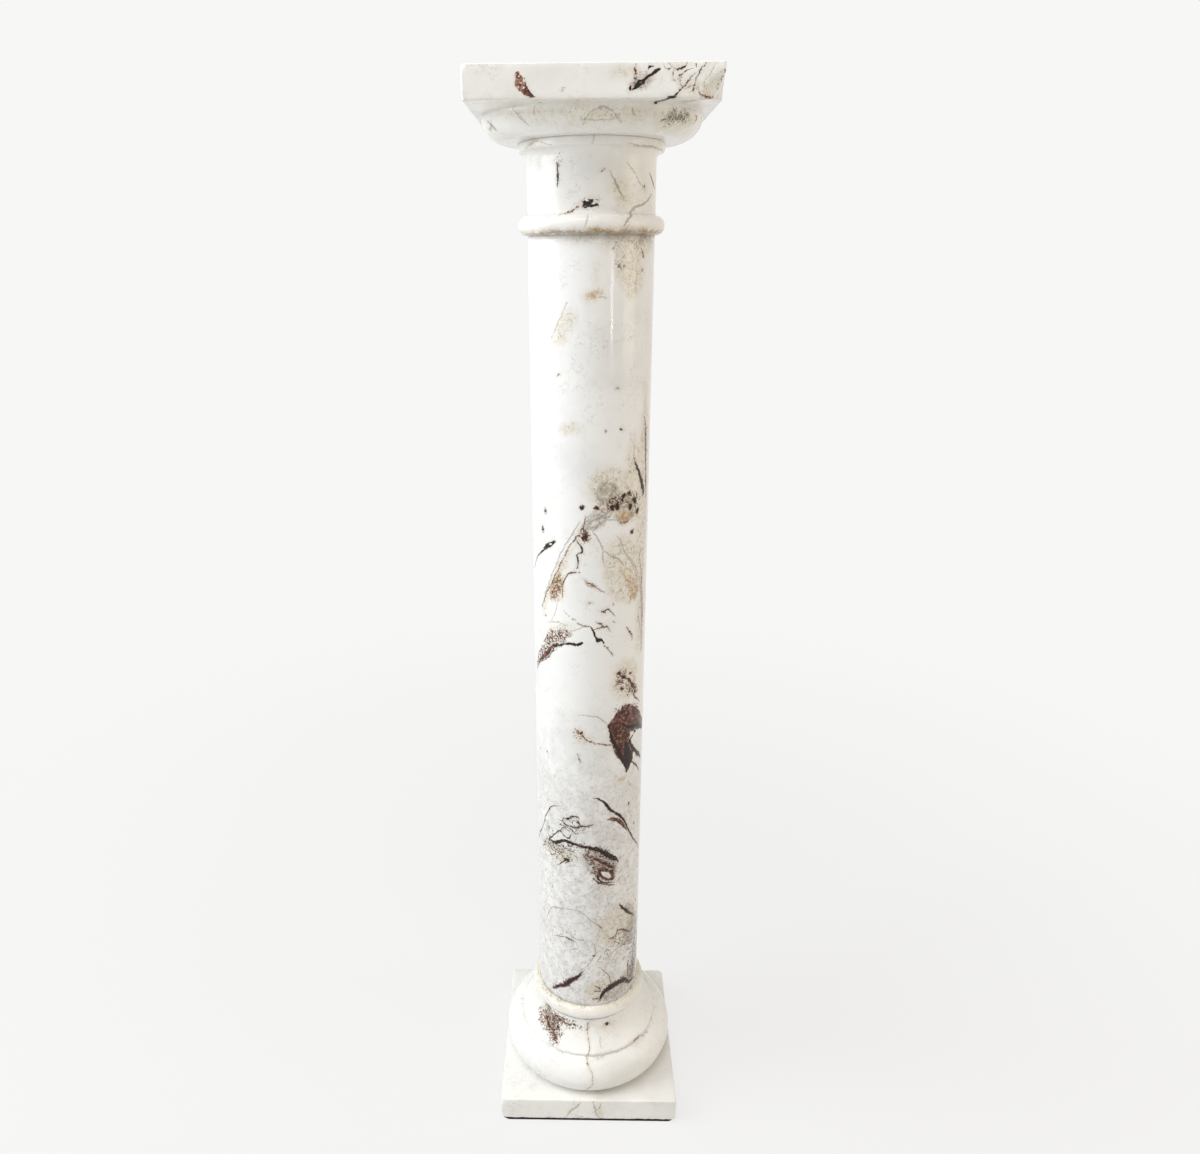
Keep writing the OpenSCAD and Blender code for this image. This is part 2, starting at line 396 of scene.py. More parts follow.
# Base: one block of white marble, a square plinth with a torus, a fillet, a cavetto and a
# half-round foot ring turned above it. The stone is polished and slightly rubbed, with a
# dark natural crack down the front, brown breccia on the left and darker grooves, painted shade under the
# foot ring.
class Marble(Bench):
    """A polished marble in millimetres: clouds in the stone, strokes for its own veins.

    ink is black vein, rust brown vein, haze a faint grey one that also paints the shade under the base's foot
    ring; grit and speck are brown and black grains, lace a net of black threads; smoke and ochre are stains;
    wash is a pale stain that also paints shade under the abacus and warm light on the shaft's right side;
    clean keeps the white ground.
    """

    def __init__(self, name, square_above=None, square_below=None):
        self.material = bpy.data.materials.new(name)
        self.material.use_nodes = True
        super().__init__(self.material.node_tree)
        self.skin = self.tree.nodes["Principled BSDF"]
        place = self.node("ShaderNodeTexCoord")
        self.mm = self.vector("SCALE", place.outputs["Object"], 1000.0)
        wide = self.noise(self.mm, 16.0, 2.0, colour=True)
        fine = self.noise(self.mm, 3.2, 3.0, colour=True)
        wide = self.vector("SCALE", self.vector("SUBTRACT", wide, (0.5, 0.5, 0.5)), 5.5)
        fine = self.vector("SCALE", self.vector("SUBTRACT", fine, (0.5, 0.5, 0.5)), 2.4)
        self.bent = self.vector("ADD", self.mm, self.vector("ADD", wide, fine))
        parts = self.node("ShaderNodeSeparateXYZ")
        self.tree.links.new(self.bent, parts.inputs[0])
        x, y, self.height = parts.outputs
        self.turn = self.times(self.calc("ARCTAN2", x, self.times(y, -1.0)), 180 / math.pi)
        self.across = self.turn
        if square_above or square_below:
            # On a square slab the strokes run along the side, in millimetres from its middle.
            side = self.calc("ROUND", self.calc("DIVIDE", self.turn, 90.0))
            lean = self.minus(self.turn, self.times(side, 90.0))
            flat = self.times(self.calc("TANGENT", self.times(lean, math.pi / 180)), 100.0)
            flat = self.plus(flat, self.times(side, 200.0))
            on_slab = (self.calc("GREATER_THAN", self.height, square_above) if square_above
                       else self.calc("LESS_THAN", self.height, square_below))
            self.across = self.plus(self.turn, self.times(on_slab, self.minus(flat, self.turn)))
        flat_place = self.node("ShaderNodeCombineXYZ")
        self.tree.links.new(self.across, flat_place.inputs[0])
        self.tree.links.new(self.height, flat_place.inputs[1])
        self.spot = flat_place.outputs[0]
        self.grain = self.noise(self.mm, 1.5, 3.0)
        self.drift = self.noise(self.mm, 24.0, 3.0)
        self.layers = {}
        self.blotches = {}

    def vector(self, operation, first, second):
        made = self.node("ShaderNodeVectorMath", operation=operation)
        self.feed(first, made.inputs[0])
        self.feed(second, made.inputs["Scale"] if operation == "SCALE" else made.inputs[1])
        return made.outputs[0]

    def noise(self, place, size, detail, colour=False, rough=0.55):
        made = self.node("ShaderNodeTexNoise")
        self.feed(place, made.inputs["Vector"])
        made.inputs["Scale"].default_value = 1.0 / size
        made.inputs["Detail"].default_value = detail
        made.inputs["Roughness"].default_value = rough
        return made.outputs["Color" if colour else 0]

    def ease(self, value, low, high, to_low=0.0, to_high=1.0):
        made = self.node("ShaderNodeMapRange", interpolation_type="SMOOTHSTEP")
        self.feed(value, made.inputs["Value"])
        for socket, number in zip(("From Min", "From Max", "To Min", "To Max"), (low, high, to_low, to_high)):
            made.inputs[socket].default_value = number
        return made.outputs["Result"]

    def blend(self, share, under, over):
        made = self.node("ShaderNodeMix", data_type="RGBA")
        self.feed(share, made.inputs[0])
        self.feed(under, made.inputs[6])
        self.feed(over, made.inputs[7])
        return made.outputs[2]

    def add(self, layer, depth, held=None):
        """Depth is how far inside a stroke a point lies, in millimetres, negative outside it."""
        held = self.layers if held is None else held
        held[layer] = self.most(held[layer], depth) if layer in held else depth

    def run(self, layer, points):
        """One stretch of a vein that keeps going the same way, as one curves node."""
        axis = 0 if abs(points[-1][0] - points[0][0]) > abs(points[-1][1] - points[0][1]) else 1
        reach = points[-1][axis] - points[0][axis]
        if not all((b[axis] - a[axis]) * reach > 0 for a, b in zip(points, points[1:])):
            axis = 1 - axis
        points = sorted(points, key=lambda p: p[axis])
        low, high = points[0][axis], points[-1][axis]
        side = [p[1 - axis] for p in points]
        side_low, side_span = min(side) - 1.0, max(side) - min(side) + 2.0
        slopes = [abs(b[1 - axis] - a[1 - axis]) / (b[axis] - a[axis]) for a, b in zip(points, points[1:])]
        slopes = [slopes[0]] + [0.5 * (a + b) for a, b in zip(slopes, slopes[1:])] + [slopes[-1]]
        halves = [min(18.0, 0.5 * p[2] * min(3.0, math.hypot(1.0, s))) for p, s in zip(points, slopes)]
        share = [(p[axis] - low) / (high - low) for p in points]
        tip = min(0.25, 0.35 / (high - low))
        path = list(zip(share, [(s - side_low) / side_span for s in side]))
        widths = [(0.0, 0.0), (tip, (halves[0] * 0.6 + 6.0) / 24.0)]
        widths += [(t, (h + 6.0) / 24.0) for t, h in list(zip(share, halves))[1:-1]
                   if tip * 1.2 < t < 1 - tip * 1.2]
        widths += [(1.0 - tip, (halves[-1] * 0.6 + 6.0) / 24.0), (1.0, 0.0)]
        go = self.node("ShaderNodeMapRange")
        self.feed(self.across if axis == 0 else self.height, go.inputs["Value"])
        go.inputs["From Min"].default_value = low
        go.inputs["From Max"].default_value = high
        pair = self.node("ShaderNodeCombineColor")
        for socket in pair.inputs[:2]:
            self.tree.links.new(go.outputs["Result"], socket)
        curves = self.node("ShaderNodeRGBCurve")
        for curve, dots, handle in ((curves.mapping.curves[0], path, "AUTO_CLAMPED"),
                                    (curves.mapping.curves[1], widths, "VECTOR")):
            curve.points[0].location = dots[0]
            curve.points[-1].location = dots[-1]
            for dot in dots[1:-1]:
                curve.points.new(*dot)
            for dot in curve.points:
                dot.handle_type = handle
        curves.mapping.update()
        self.tree.links.new(pair.outputs[0], curves.inputs["Color"])
        split = self.node("ShaderNodeSeparateColor")
        self.tree.links.new(curves.outputs["Color"], split.inputs[0])
        middle = self.calc("MULTIPLY_ADD", split.outputs[0], side_span, side_low)
        off = self.calc("ABSOLUTE", self.minus(self.height if axis == 0 else self.across, middle))
        half = self.calc("MULTIPLY_ADD", split.outputs[1], 24.0, -6.0)
        self.add(layer, self.minus(half, off))

    def vein(self, layer, *points):
        """A vein through (across, height, width) points, broken where it doubles back."""
        stretch = [points[0]]
        ways = None
        for point in points[1:]:
            moves = [point[i] - stretch[-1][i] for i in (0, 1)]
            step = [0 if abs(move) < 0.05 else math.copysign(1, move) for move in moves]
            now = [step[i] if ways is None or ways[i] == step[i] else 0 for i in (0, 1)]
            if not any(now):
                self.run(layer, stretch)
                stretch = [stretch[-1]]
                now = step
            ways = now
            stretch.append(point)
        self.run(layer, stretch)

    def dab(self, layer, across, height, wide, tall, turned=0.0):
        """An oval blotch, wide by tall in millimetres, turned in degrees."""
        made = self.node("ShaderNodeMapping", vector_type="TEXTURE")
        self.tree.links.new(self.spot, made.inputs["Vector"])
        made.inputs["Location"].default_value = (across, height, 0)
        made.inputs["Rotation"].default_value = (0, 0, math.radians(turned))
        made.inputs["Scale"].default_value = (wide / 2, tall / 2, 1)
        length = self.node("ShaderNodeVectorMath", operation="LENGTH")
        self.tree.links.new(made.outputs[0], length.inputs[0])
        reach = min(wide, tall) / 2
        self.add(layer, self.calc("MULTIPLY_ADD", length.outputs["Value"], -reach, reach), self.blotches)

    def draw(self, *strokes):
        """Strokes in a row: a layer with the points of a vein, or with the measures of a dab."""
        for layer, *measures in strokes:
            (self.vein if isinstance(measures[0], tuple) else self.dab)(layer, *measures)

    def cells(self, place, size, stretch=(1, 1, 1)):
        """Distance in millimetres to the nearest wall between the stone's pebbles."""
        shape = self.node("ShaderNodeMapping")
        self.tree.links.new(place, shape.inputs["Vector"])
        shape.inputs["Scale"].default_value = stretch
        made = self.node("ShaderNodeTexVoronoi", feature="DISTANCE_TO_EDGE")
        self.tree.links.new(shape.outputs[0], made.inputs["Vector"])
        made.inputs["Scale"].default_value = 1.0 / size
        return self.times(made.outputs["Distance"], size)

    def finish(self, ground, cloud, rust_tones, ink_tones, polish, ragged_edge=3.0, shade_and_hairs_below=None):
        """Lays the layers over the ground: wash (stains, with painted light and shade), halo, rust, haze
        (grey veins, with painted groove shade), threads, ink, then the polish.
        """
        for layer, depth in self.blotches.items():
            self.add(layer, depth)
        nowhere = -99.0
        grain = self.minus(self.grain, 0.5)
        drift = self.minus(self.drift, 0.5)
        mottle = self.noise(self.bent, 4.5, 5.0, rough=0.7)
        streaks = self.noise(self.vector("MULTIPLY", self.bent, (1.0, 1.0, 0.75)), 9.0, 5.0, rough=0.65)
        clouds = self.ease(self.noise(self.mm, 70.0, 4.0), 0.42, 0.72)
        colour = self.blend(clouds, ground, cloud)
        streak_share = self.times(self.ease(streaks, 0.54, 0.8), 0.22)
        colour = self.blend(streak_share, colour, linear(206, 203, 198))
        faint_share = self.ease(self.drift, 0.47, 0.62, 0.0, 0.28)
        if shade_and_hairs_below:
            # Towards its foot the stone is painted greyer in streaks, painted shade for the dimmer light low
            # down, and is full of fine grey hairs.
            low_shade_and_hairs = self.ease(self.height, shade_and_hairs_below, shade_and_hairs_below - 260.0)
            painted_low_shade = self.times(low_shade_and_hairs, self.ease(streaks, 0.36, 0.66, 0.12, 0.75))
            colour = self.blend(painted_low_shade, colour, linear(206, 204, 201))
            faint_share = self.most(faint_share, self.times(low_shade_and_hairs, 0.7))
        clean = self.plus(self.layers.get("clean", nowhere), self.times(grain, 1.6))
        clean = self.ease(clean, -0.3, 0.4)
        keep = self.minus(1.0, clean)
        ragged = self.plus(self.times(drift, 12.0), self.times(grain, 7.0))

        def soaked(layer, low, high, share, tone):
            """Stains, and for the wash also painted light and shade: soft at the rim, broken by the streaks
            of the stone.
            """
            stain_and_light_mask = self.ease(self.plus(self.layers.get(layer, nowhere), ragged), low, high)
            stain_and_light_mask = self.times(stain_and_light_mask, self.ease(mottle, 0.36, 0.62, 0.3, 1.0))
            stain_and_light_mask = self.times(stain_and_light_mask, keep)
            return self.blend(self.times(stain_and_light_mask, share), colour, tone)

        ink = self.layers.get("ink", nowhere)
        rust = self.layers.get("rust", nowhere)
        both = self.most(ink, rust)
        # wash: a pale stain, also painted shade under the abacus and painted warm light on the shaft's right
        # side.
        if "wash" in self.layers:
            colour = soaked("wash", -3.0, 7.0, 0.55, linear(208, 194, 162))
        if "smoke" in self.layers:
            colour = soaked("smoke", -2.0, 4.0, 0.72, linear(142, 130, 112))
        if "ochre" in self.layers:
            colour = soaked("ochre", -2.0, 3.0, 0.85, linear(190, 154, 100))
        halo = self.ease(self.plus(both, self.times(drift, 7.0)), -3.4, 0.8)
        halo = self.times(self.times(halo, keep), 0.26)
        colour = self.blend(halo, colour, linear(196, 166, 134))
        # Hair threads: thin walls of a warped noise, showing where the stone is stained, and also inside the
        # wash's painted light and shade.
        threads = self.minus(self.noise(self.bent, 11.0, 4.0, rough=0.62), 0.5)
        threads = self.calc("ABSOLUTE", threads)
        beside = self.plus(both, -2.0)
        hair_reach = self.most(beside, self.layers.get("ochre", nowhere))
        if "wash" in self.layers:
            hair_reach = self.most(hair_reach, self.plus(self.layers["wash"], -5.0))
        for layer in ("smoke", "lace", "speck", "grit"):
            if layer in self.layers:
                hair_reach = self.most(hair_reach, self.layers[layer])
        hair_reach = self.ease(self.plus(hair_reach, ragged), -4.0, 3.0)
        hair = self.times(self.ease(threads, 0.002, 0.013, 1.0, 0.0), self.times(hair_reach, 0.75))
        faint_hair = self.times(self.ease(threads, 0.0, 0.014, 1.0, 0.0), faint_share)
        hair = self.times(self.most(hair, faint_hair), keep)
        colour = self.blend(hair, colour, linear(112, 86, 66))
        # haze: faint grey veins, also painted shade in the base's grooves.
        if "haze" in self.layers:
            haze = self.ease(self.plus(self.layers["haze"], self.times(grain, 2.6)), -0.7, 0.7)
            haze = self.times(self.times(haze, 0.6), keep)
            colour = self.blend(haze, colour, linear(142, 126, 108))
        grains = self.noise(self.mm, 2.0, 3.0, rough=0.7)
        if "grit" in self.layers:
            # Grit: rust-brown grains lying close together in white stone.
            inside = self.ease(self.plus(self.layers["grit"], ragged), -2.5, 3.5)
            loose = self.times(self.minus(grains, 0.485), 15.0)
            loose = self.minus(loose, self.times(self.minus(1.0, inside), 4.0))
            rust = self.most(rust, loose)
        rust_colour = self.blend(self.ease(mottle, 0.42, 0.58), *rust_tones)
        edge = self.ease(self.plus(rust, self.times(grain, 3.0)), 0.4, 3.2, 0.22, 0.0)
        rust_colour = self.blend(edge, rust_colour, linear(40, 26, 22))
        rust = self.ease(self.plus(rust, self.times(grain, 5.5)), -0.5, 0.9)
        rust = self.times(rust, self.ease(mottle, 0.3, 0.46, 0.6, 1.0))
        colour = self.blend(self.times(rust, keep), colour, rust_colour)
        # Flecks: dark grains inside the specked stone, and a spray of them beside each vein.
        flecks = self.times(self.minus(grains, 0.54), 15.0)
        spray = self.ease(self.plus(both, self.times(drift, 8.0)), -1.8, 1.2)
        if "speck" in self.layers:
            spray = self.most(spray, self.ease(self.plus(self.layers["speck"], ragged), -2.5, 3.0))
        fleck_ink = self.minus(flecks, self.times(self.minus(1.0, spray), 4.0))
        ink = self.most(ink, fleck_ink)
        if "lace" in self.layers:
            inside = self.ease(self.plus(self.layers["lace"], ragged), -2.0, 2.0)
            walls = self.minus(0.36, self.cells(self.bent, 7.5, (1, 1, 1.3)))
            outside = self.times(self.minus(1.0, inside), 6.0)
            ink = self.most(ink, self.minus(walls, outside))
        deep = self.times(self.ease(ink, 0.5, 2.4), self.ease(self.noise(self.mm, 2.6, 3.0), 0.5, 0.66))
        ink = self.ease(self.plus(ink, self.times(grain, ragged_edge)), -0.12, 0.4)
        ink = self.times(ink, keep)
        ink = self.times(ink, self.minus(1.0, self.times(deep, 0.15)))
        colour = self.blend(ink, colour, self.blend(self.ease(mottle, 0.42, 0.66), *ink_tones))
        self.tree.links.new(colour, self.skin.inputs["Base Color"])
        self.skin.inputs["Specular IOR Level"].default_value = 0.32
        rough = self.ease(self.noise(self.mm, 38.0, 4.0), 0.35, 0.7, polish - 0.05, polish + 0.08)
        self.tree.links.new(self.plus(rough, self.times(ink, 0.12)), self.skin.inputs["Roughness"])
        pits = self.node("ShaderNodeBump")
        pits.inputs["Strength"].default_value = 0.25
        pits.inputs["Distance"].default_value = 0.0004
        self.tree.links.new(self.noise(self.mm, 6.0, 5.0, rough=0.6), pits.inputs["Height"])
        self.tree.links.new(pits.outputs["Normal"], self.skin.inputs["Normal"])
        return self.material


def bite(piece, place, reach, depth):
    """A small knock: the stone inside reach of a place is pushed in towards the middle."""
    place = Vector(place)
    inward = Vector((-place.x, -place.y, 0.0)).normalized()
    for vertex in piece.data.vertices:
        near = 1.0 - ((vertex.co - place).length / reach) ** 2
        if near > 0.0:
            vertex.co += inward * depth * near


white_ground = linear(240, 239, 236)
white_cloud = linear(228, 227, 223)
brown_tones = (linear(136, 84, 62), linear(64, 34, 26))
black_tones = (linear(20, 14, 13), linear(50, 28, 24))

base_low, base_high = (Vector(c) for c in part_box("base"))
arris = 0.0012
plinth_top = base_low.z + 0.028
plinth_half = base_high.x
torus_tube = 0.022
torus_middle = (0.0765, plinth_top + torus_tube)
fillet_radius = 0.0795
fillet_top = plinth_top + 2 * torus_tube + 0.003
cavetto_middle = (0.10075, base_high.z - 0.016)
cavetto_radius = 0.03925
ring_tube = 0.008
ring_middle = (0.0575, base_high.z - ring_tube)
torus_end = math.degrees(math.acos((fillet_radius - torus_middle[0]) / torus_tube))
cavetto_start = 180 + math.degrees(math.asin((cavetto_middle[1] - fillet_top) / cavetto_radius))
base_profile = (
    rows([(r, base_low.z) for r in steps(0.0, plinth_half - arris, 6)[:-1]], 1.0)
    + eased_slab_side(plinth_half, base_low.z, plinth_top, arris, 1.0)
    + [(0.0965, plinth_top, 0.9, 0.2), (0.091, plinth_top, 0.66, 0.0), (0.085, plinth_top, 0.33, 0.0),
       (0.080, plinth_top, 0.1, 0.0)]
    + rows(arc(torus_middle, torus_tube, -90, torus_end, 30), 0.0, 0.12)
    + rows([(fillet_radius, z) for z in steps(fillet_top - 0.0028, fillet_top, 3)], 0.0, 0.3)
    + rows(arc(cavetto_middle, cavetto_radius, cavetto_start, 180, 22)[1:], 0.0, 0.12)
    + rows([(0.0590, base_high.z - 0.016)], 0.0, 0.0)
    + rows(arc(ring_middle, ring_tube, -90, 90, 18), 0.0, 0.25)
    + rows([(r, base_high.z) for r in steps(ring_middle[0], 0.0, 5)[1:]]))

base_marble = Marble("white_marble_base", square_below=34.0)
stone = base_marble
stone.draw(
    ("ink", (4, 110, 0.36), (0, 106, 0.48), (-1, 98, 0.48), (0, 92, 0.48), (1, 85, 0.54),
     (0.5, 79, 0.6), (-1, 75, 0.72), (1, 70, 0.48), (3, 62, 0.42), (2.5, 54, 0.42), (0, 46, 0.48),
     (-4, 40, 0.54), (-7, 34.5, 0.48)),
    ("ink", (-7, 30, 0.54), (-14, 22, 0.66), (-20.5, 14, 0.48), (-27, 3, 0.48)),
    ("ink", (-15, 8, 0.42), (-10, 6.5, 0.36), (-5, 5, 0.36)),
    ("haze", (6, 30, 1.2), (7.5, 20, 1.6), (10, 10, 1.3), (17, 3, 1.2)),
    ("haze", (5, 12, 0.8), (12, 20, 1), (16, 28, 0.8)),
    ("haze", (11, 92, 0.8), (11.5, 80, 0.7)),
    ("rust", (-42, 110, 2), (-35, 103, 2.6), (-20, 101, 2)),
    ("rust", (-55, 100, 1.6), (-45, 92, 3), (-33, 84, 2.6), (-27, 79, 1.6)),
    ("rust", (-40, 106, 1.4), (-38, 96, 1.8), (-44, 88, 1.2)),
    ("grit", -44, 98, 50, 22, -50),
    ("grit", -30, 103, 40, 14, -5),
    ("grit", -52, 92, 26, 16, -30),
    ("smoke", -44, 98, 40, 16, -50),
    ("speck", -40, 100, 26, 14, -40),
    ("wash", -46, 96, 44, 26, -40),
    ("rust", 20, 102, 5, 4),
    ("rust", 45, 77, 5, 2.4),
    ("ink", 9, 36, 4, 2),
    ("ink", (120, 105, 1), (129, 92, 1.4), (126, 80, 0.9), (137, 60, 1), (143, 42, 0.7)),
    ("ink", (-134, 108, 0.8), (-142, 94, 1.3), (-151, 83, 1), (-148, 60, 0.7)),
    ("rust", (150, 100, 3), (160, 90, 5), (171, 82, 3)),
    ("speck", 158, 92, 26, 20),
    ("ink", (196, 29, 1.2), (214, 20, 1.6), (220, 10, 1.0), (236, 4, 1)),
    ("ink", (-238, 29, 1), (-225, 18, 1.8), (-219, 6, 1.1)),
    ("rust", (330, 28, 2), (352, 18, 4), (371, 6, 2)),
    ("haze", (-352, 28, 1), (-330, 14, 2), (-318, 5, 1)),
    ("wash", 12, 16, 12, 28),
    ("wash", 20, 100, 22, 12),
    ("wash", 140, 92, 70, 30))
# The grooves are drawn darker: painted shade in the corner under the foot ring, and a thin darker line in the
# groove above the torus, darker still on the right. The joint with the shaft has a yellow crust.
for groove, thickness in ((75.2, 0.05), (111.3, 0.5)):
    off = stone.calc("ABSOLUTE", stone.minus(stone.height, groove))
    stone.add("haze", stone.minus(thickness, off))
stone.vein("haze", (2, 75.1, 0.4), (12, 75.2, 0.6), (28, 75.1, 0.8), (46, 75.3, 0.4))
stone.add("wash", stone.times(stone.minus(stone.height, 119.5), 0.9))
base_polished = stone.finish(white_ground, white_cloud, brown_tones, black_tones, 0.2, ragged_edge=1.5)
base = turned_piece("marble_base", base_profile, base_polished, 400, 0.0014, 0.0030, 120.0)
for place, reach, depth in (((-0.1, -0.1, 0.030), 0.0055, 0.0016), ((-0.1, -0.1, 0.006), 0.0060, 0.0020),
                            ((-0.0995, -0.062, 0.0305), 0.0035, 0.0009), ((0.1, 0.1, 0.030), 0.005, 0.0015),
                            ((0.1, -0.1, 0.004), 0.004, 0.0012), ((-0.1, 0.1, 0.028), 0.004, 0.0010)):
    bite(base, place, reach, depth)
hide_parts("base")
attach(base, "root")


# Shaft: one long turned piece of veined white marble, very slightly narrower at the top.
# It stands on the foot ring and carries the capital; its black, purple and rust-brown veins
# run slantwise and break into lace and speckles. Vein points are degrees round the axis from
# the front, millimetres above the floor and width.
shaft_low, shaft_high = (Vector(c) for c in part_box("shaft"))
shaft_foot, shaft_head = 0.058, 0.057
shaft_taper = (shaft_head - shaft_foot) / (shaft_high.z - shaft_low.z)
shaft_profile = (rows([(r, shaft_low.z) for r in steps(0.0, shaft_foot, 5)])
                 + rows([(shaft_foot + shaft_taper * (z - shaft_low.z), z)
                         for z in steps(shaft_low.z, shaft_high.z, 150)[1:]], 0.0, 0.05)
                 + rows([(r, shaft_high.z) for r in steps(shaft_head, 0.0, 5)[1:]]))


class VeinBook:
    """Keeps the strokes of the long shaft, so that each stretch of it lays only its own."""

    def __init__(self):
        self.strokes = []

    def vein(self, layer, *points):
        heights = [p[1] for p in points]
        self.strokes.append((min(heights), max(heights), "vein", (layer, *points)))

    def dab(self, layer, across, height, wide, tall, turned=0.0):
        reach = max(wide, tall) / 2
        self.strokes.append((height - reach, height + reach, "dab",
                             (layer, across, height, wide, tall, turned)))

    draw = Marble.draw

    def lay(self, stone, low, high, margin):
        for stroke_low, stroke_high, kind, values in self.strokes:
            if stroke_high > low - margin and stroke_low < high + margin:
                getattr(stone, kind)(*values)


stone = VeinBook()
# Foot of the shaft.
stone.draw(
    ("ink", (-46, 136, 1.5), (-36, 145, 2.2), (-25, 155, 3), (-16, 166, 3), (-7, 177, 1)),
    ("grit", (-47, 135, 4), (-36, 145, 8), (-25, 155, 10), (-16, 166, 9), (-6, 178, 3)),
    ("rust", (-46, 136, 2.4), (-36, 145, 5), (-25, 155, 6.4), (-16, 166, 6), (-7, 177, 2)),
    ("speck", (-46, 136, 3), (-36, 145, 7), (-25, 155, 9), (-16, 166, 7), (-7, 177, 3)),
    ("grit", (10, 131, 4), (17, 143, 9), (26, 149, 11), (37, 151, 10), (45, 149, 9), (58, 138, 7),
     (72, 135, 6)),
    ("ink", (17, 143, 1.6), (13, 147, 1.4), (6, 149, 1.2)),
    ("ink", (26, 149, 1.4), (27, 156, 1.2), (24, 163, 1)),
    ("smoke", 38, 138, 66, 14, 4),
    ("ink", (12, 130, 2), (13, 137, 3), (17, 143, 5), (26, 149, 7), (37, 151, 6), (45, 149, 5),
     (58, 138, 4), (70, 136, 3)),
    ("ink", (7, 157, 1.2), (12, 153, 1.6), (14, 147, 2)),
    ("rust", (5, 137, 3), (12, 137, 4)),
    ("wash", 14, 150, 40, 34, 10),
    ("smoke", 56, 150, 36, 30),
    ("grit", 62, 156, 20, 44),
    ("lace", 60, 186, 26, 40),
    ("haze", (-12, 176, 1), (2, 190, 1.2), (8, 208, 1.2), (2, 222, 1)),
    ("haze", (20, 190, 1), (30, 200, 1.4), (44, 204, 1.4), (58, 198, 1.2), (70, 204, 1)),
    ("ink", (62, 136, 1.4), (62.5, 150, 2), (61, 166, 2.2), (63, 178, 1.4)),
    ("speck", 66, 172, 16, 50),
    ("lace", 44, 212, 36, 26),
    ("smoke", 58, 216, 34, 40),
    ("ink", (12, 183, 0.8), (18, 175, 1), (24, 165, 1), (26, 158, 0.8)),
    ("ink", (51, 174, 3), (51, 160, 2), (50.5, 146, 1)),
    ("rust", (41, 182, 1.6), (46, 182, 1.6)),
    ("ink", (66, 205, 1.4), (74, 195, 2), (73, 164, 2), (70, 136, 2)),
    ("ink", (35, 262, 2.4), (42, 252, 4), (52, 241, 3.4), (64, 228, 2)),
    ("ink", 66, 248, 3, 3),
    ("haze", (-25, 228, 1), (-13, 221, 1.2), (-6, 219.5, 1.2), (1.5, 212, 1)),
    ("ink", (-42, 215, 0.7), (-33, 217, 1.1), (-25, 219, 0.9), (-18, 218, 1.1), (-13, 215.5, 0.8)),
    ("speck", -26, 219, 30, 9, -8),
    ("speck", 52, 246, 30, 16, -38),
    ("haze", (-58, 221, 1), (-51, 241, 1.2), (-41, 254, 1.4), (-17, 259, 1.2), (-6, 256, 1.2),
     (2, 247, 1), (11, 240, 1), (16, 231, 1)),
    ("rust", (10, 242, 1.8), (15, 236, 1.6)),
    ("rust", (22, 219.5, 1.6), (28, 220, 2), (31.5, 222, 2), (35.5, 226.5, 2), (42, 224, 2),
     (47, 219, 1.8), (53, 213, 1.4)),
    ("rust", (25, 207, 1.5), (29.5, 207, 1.5)),
    ("speck", 21, 201, 12, 14),
    ("rust", (11, 193, 1), (15, 199, 1.2)),
    ("ink", 5.5, 199, 2.5, 2),
    ("wash", 40, 232, 60, 60, -30))
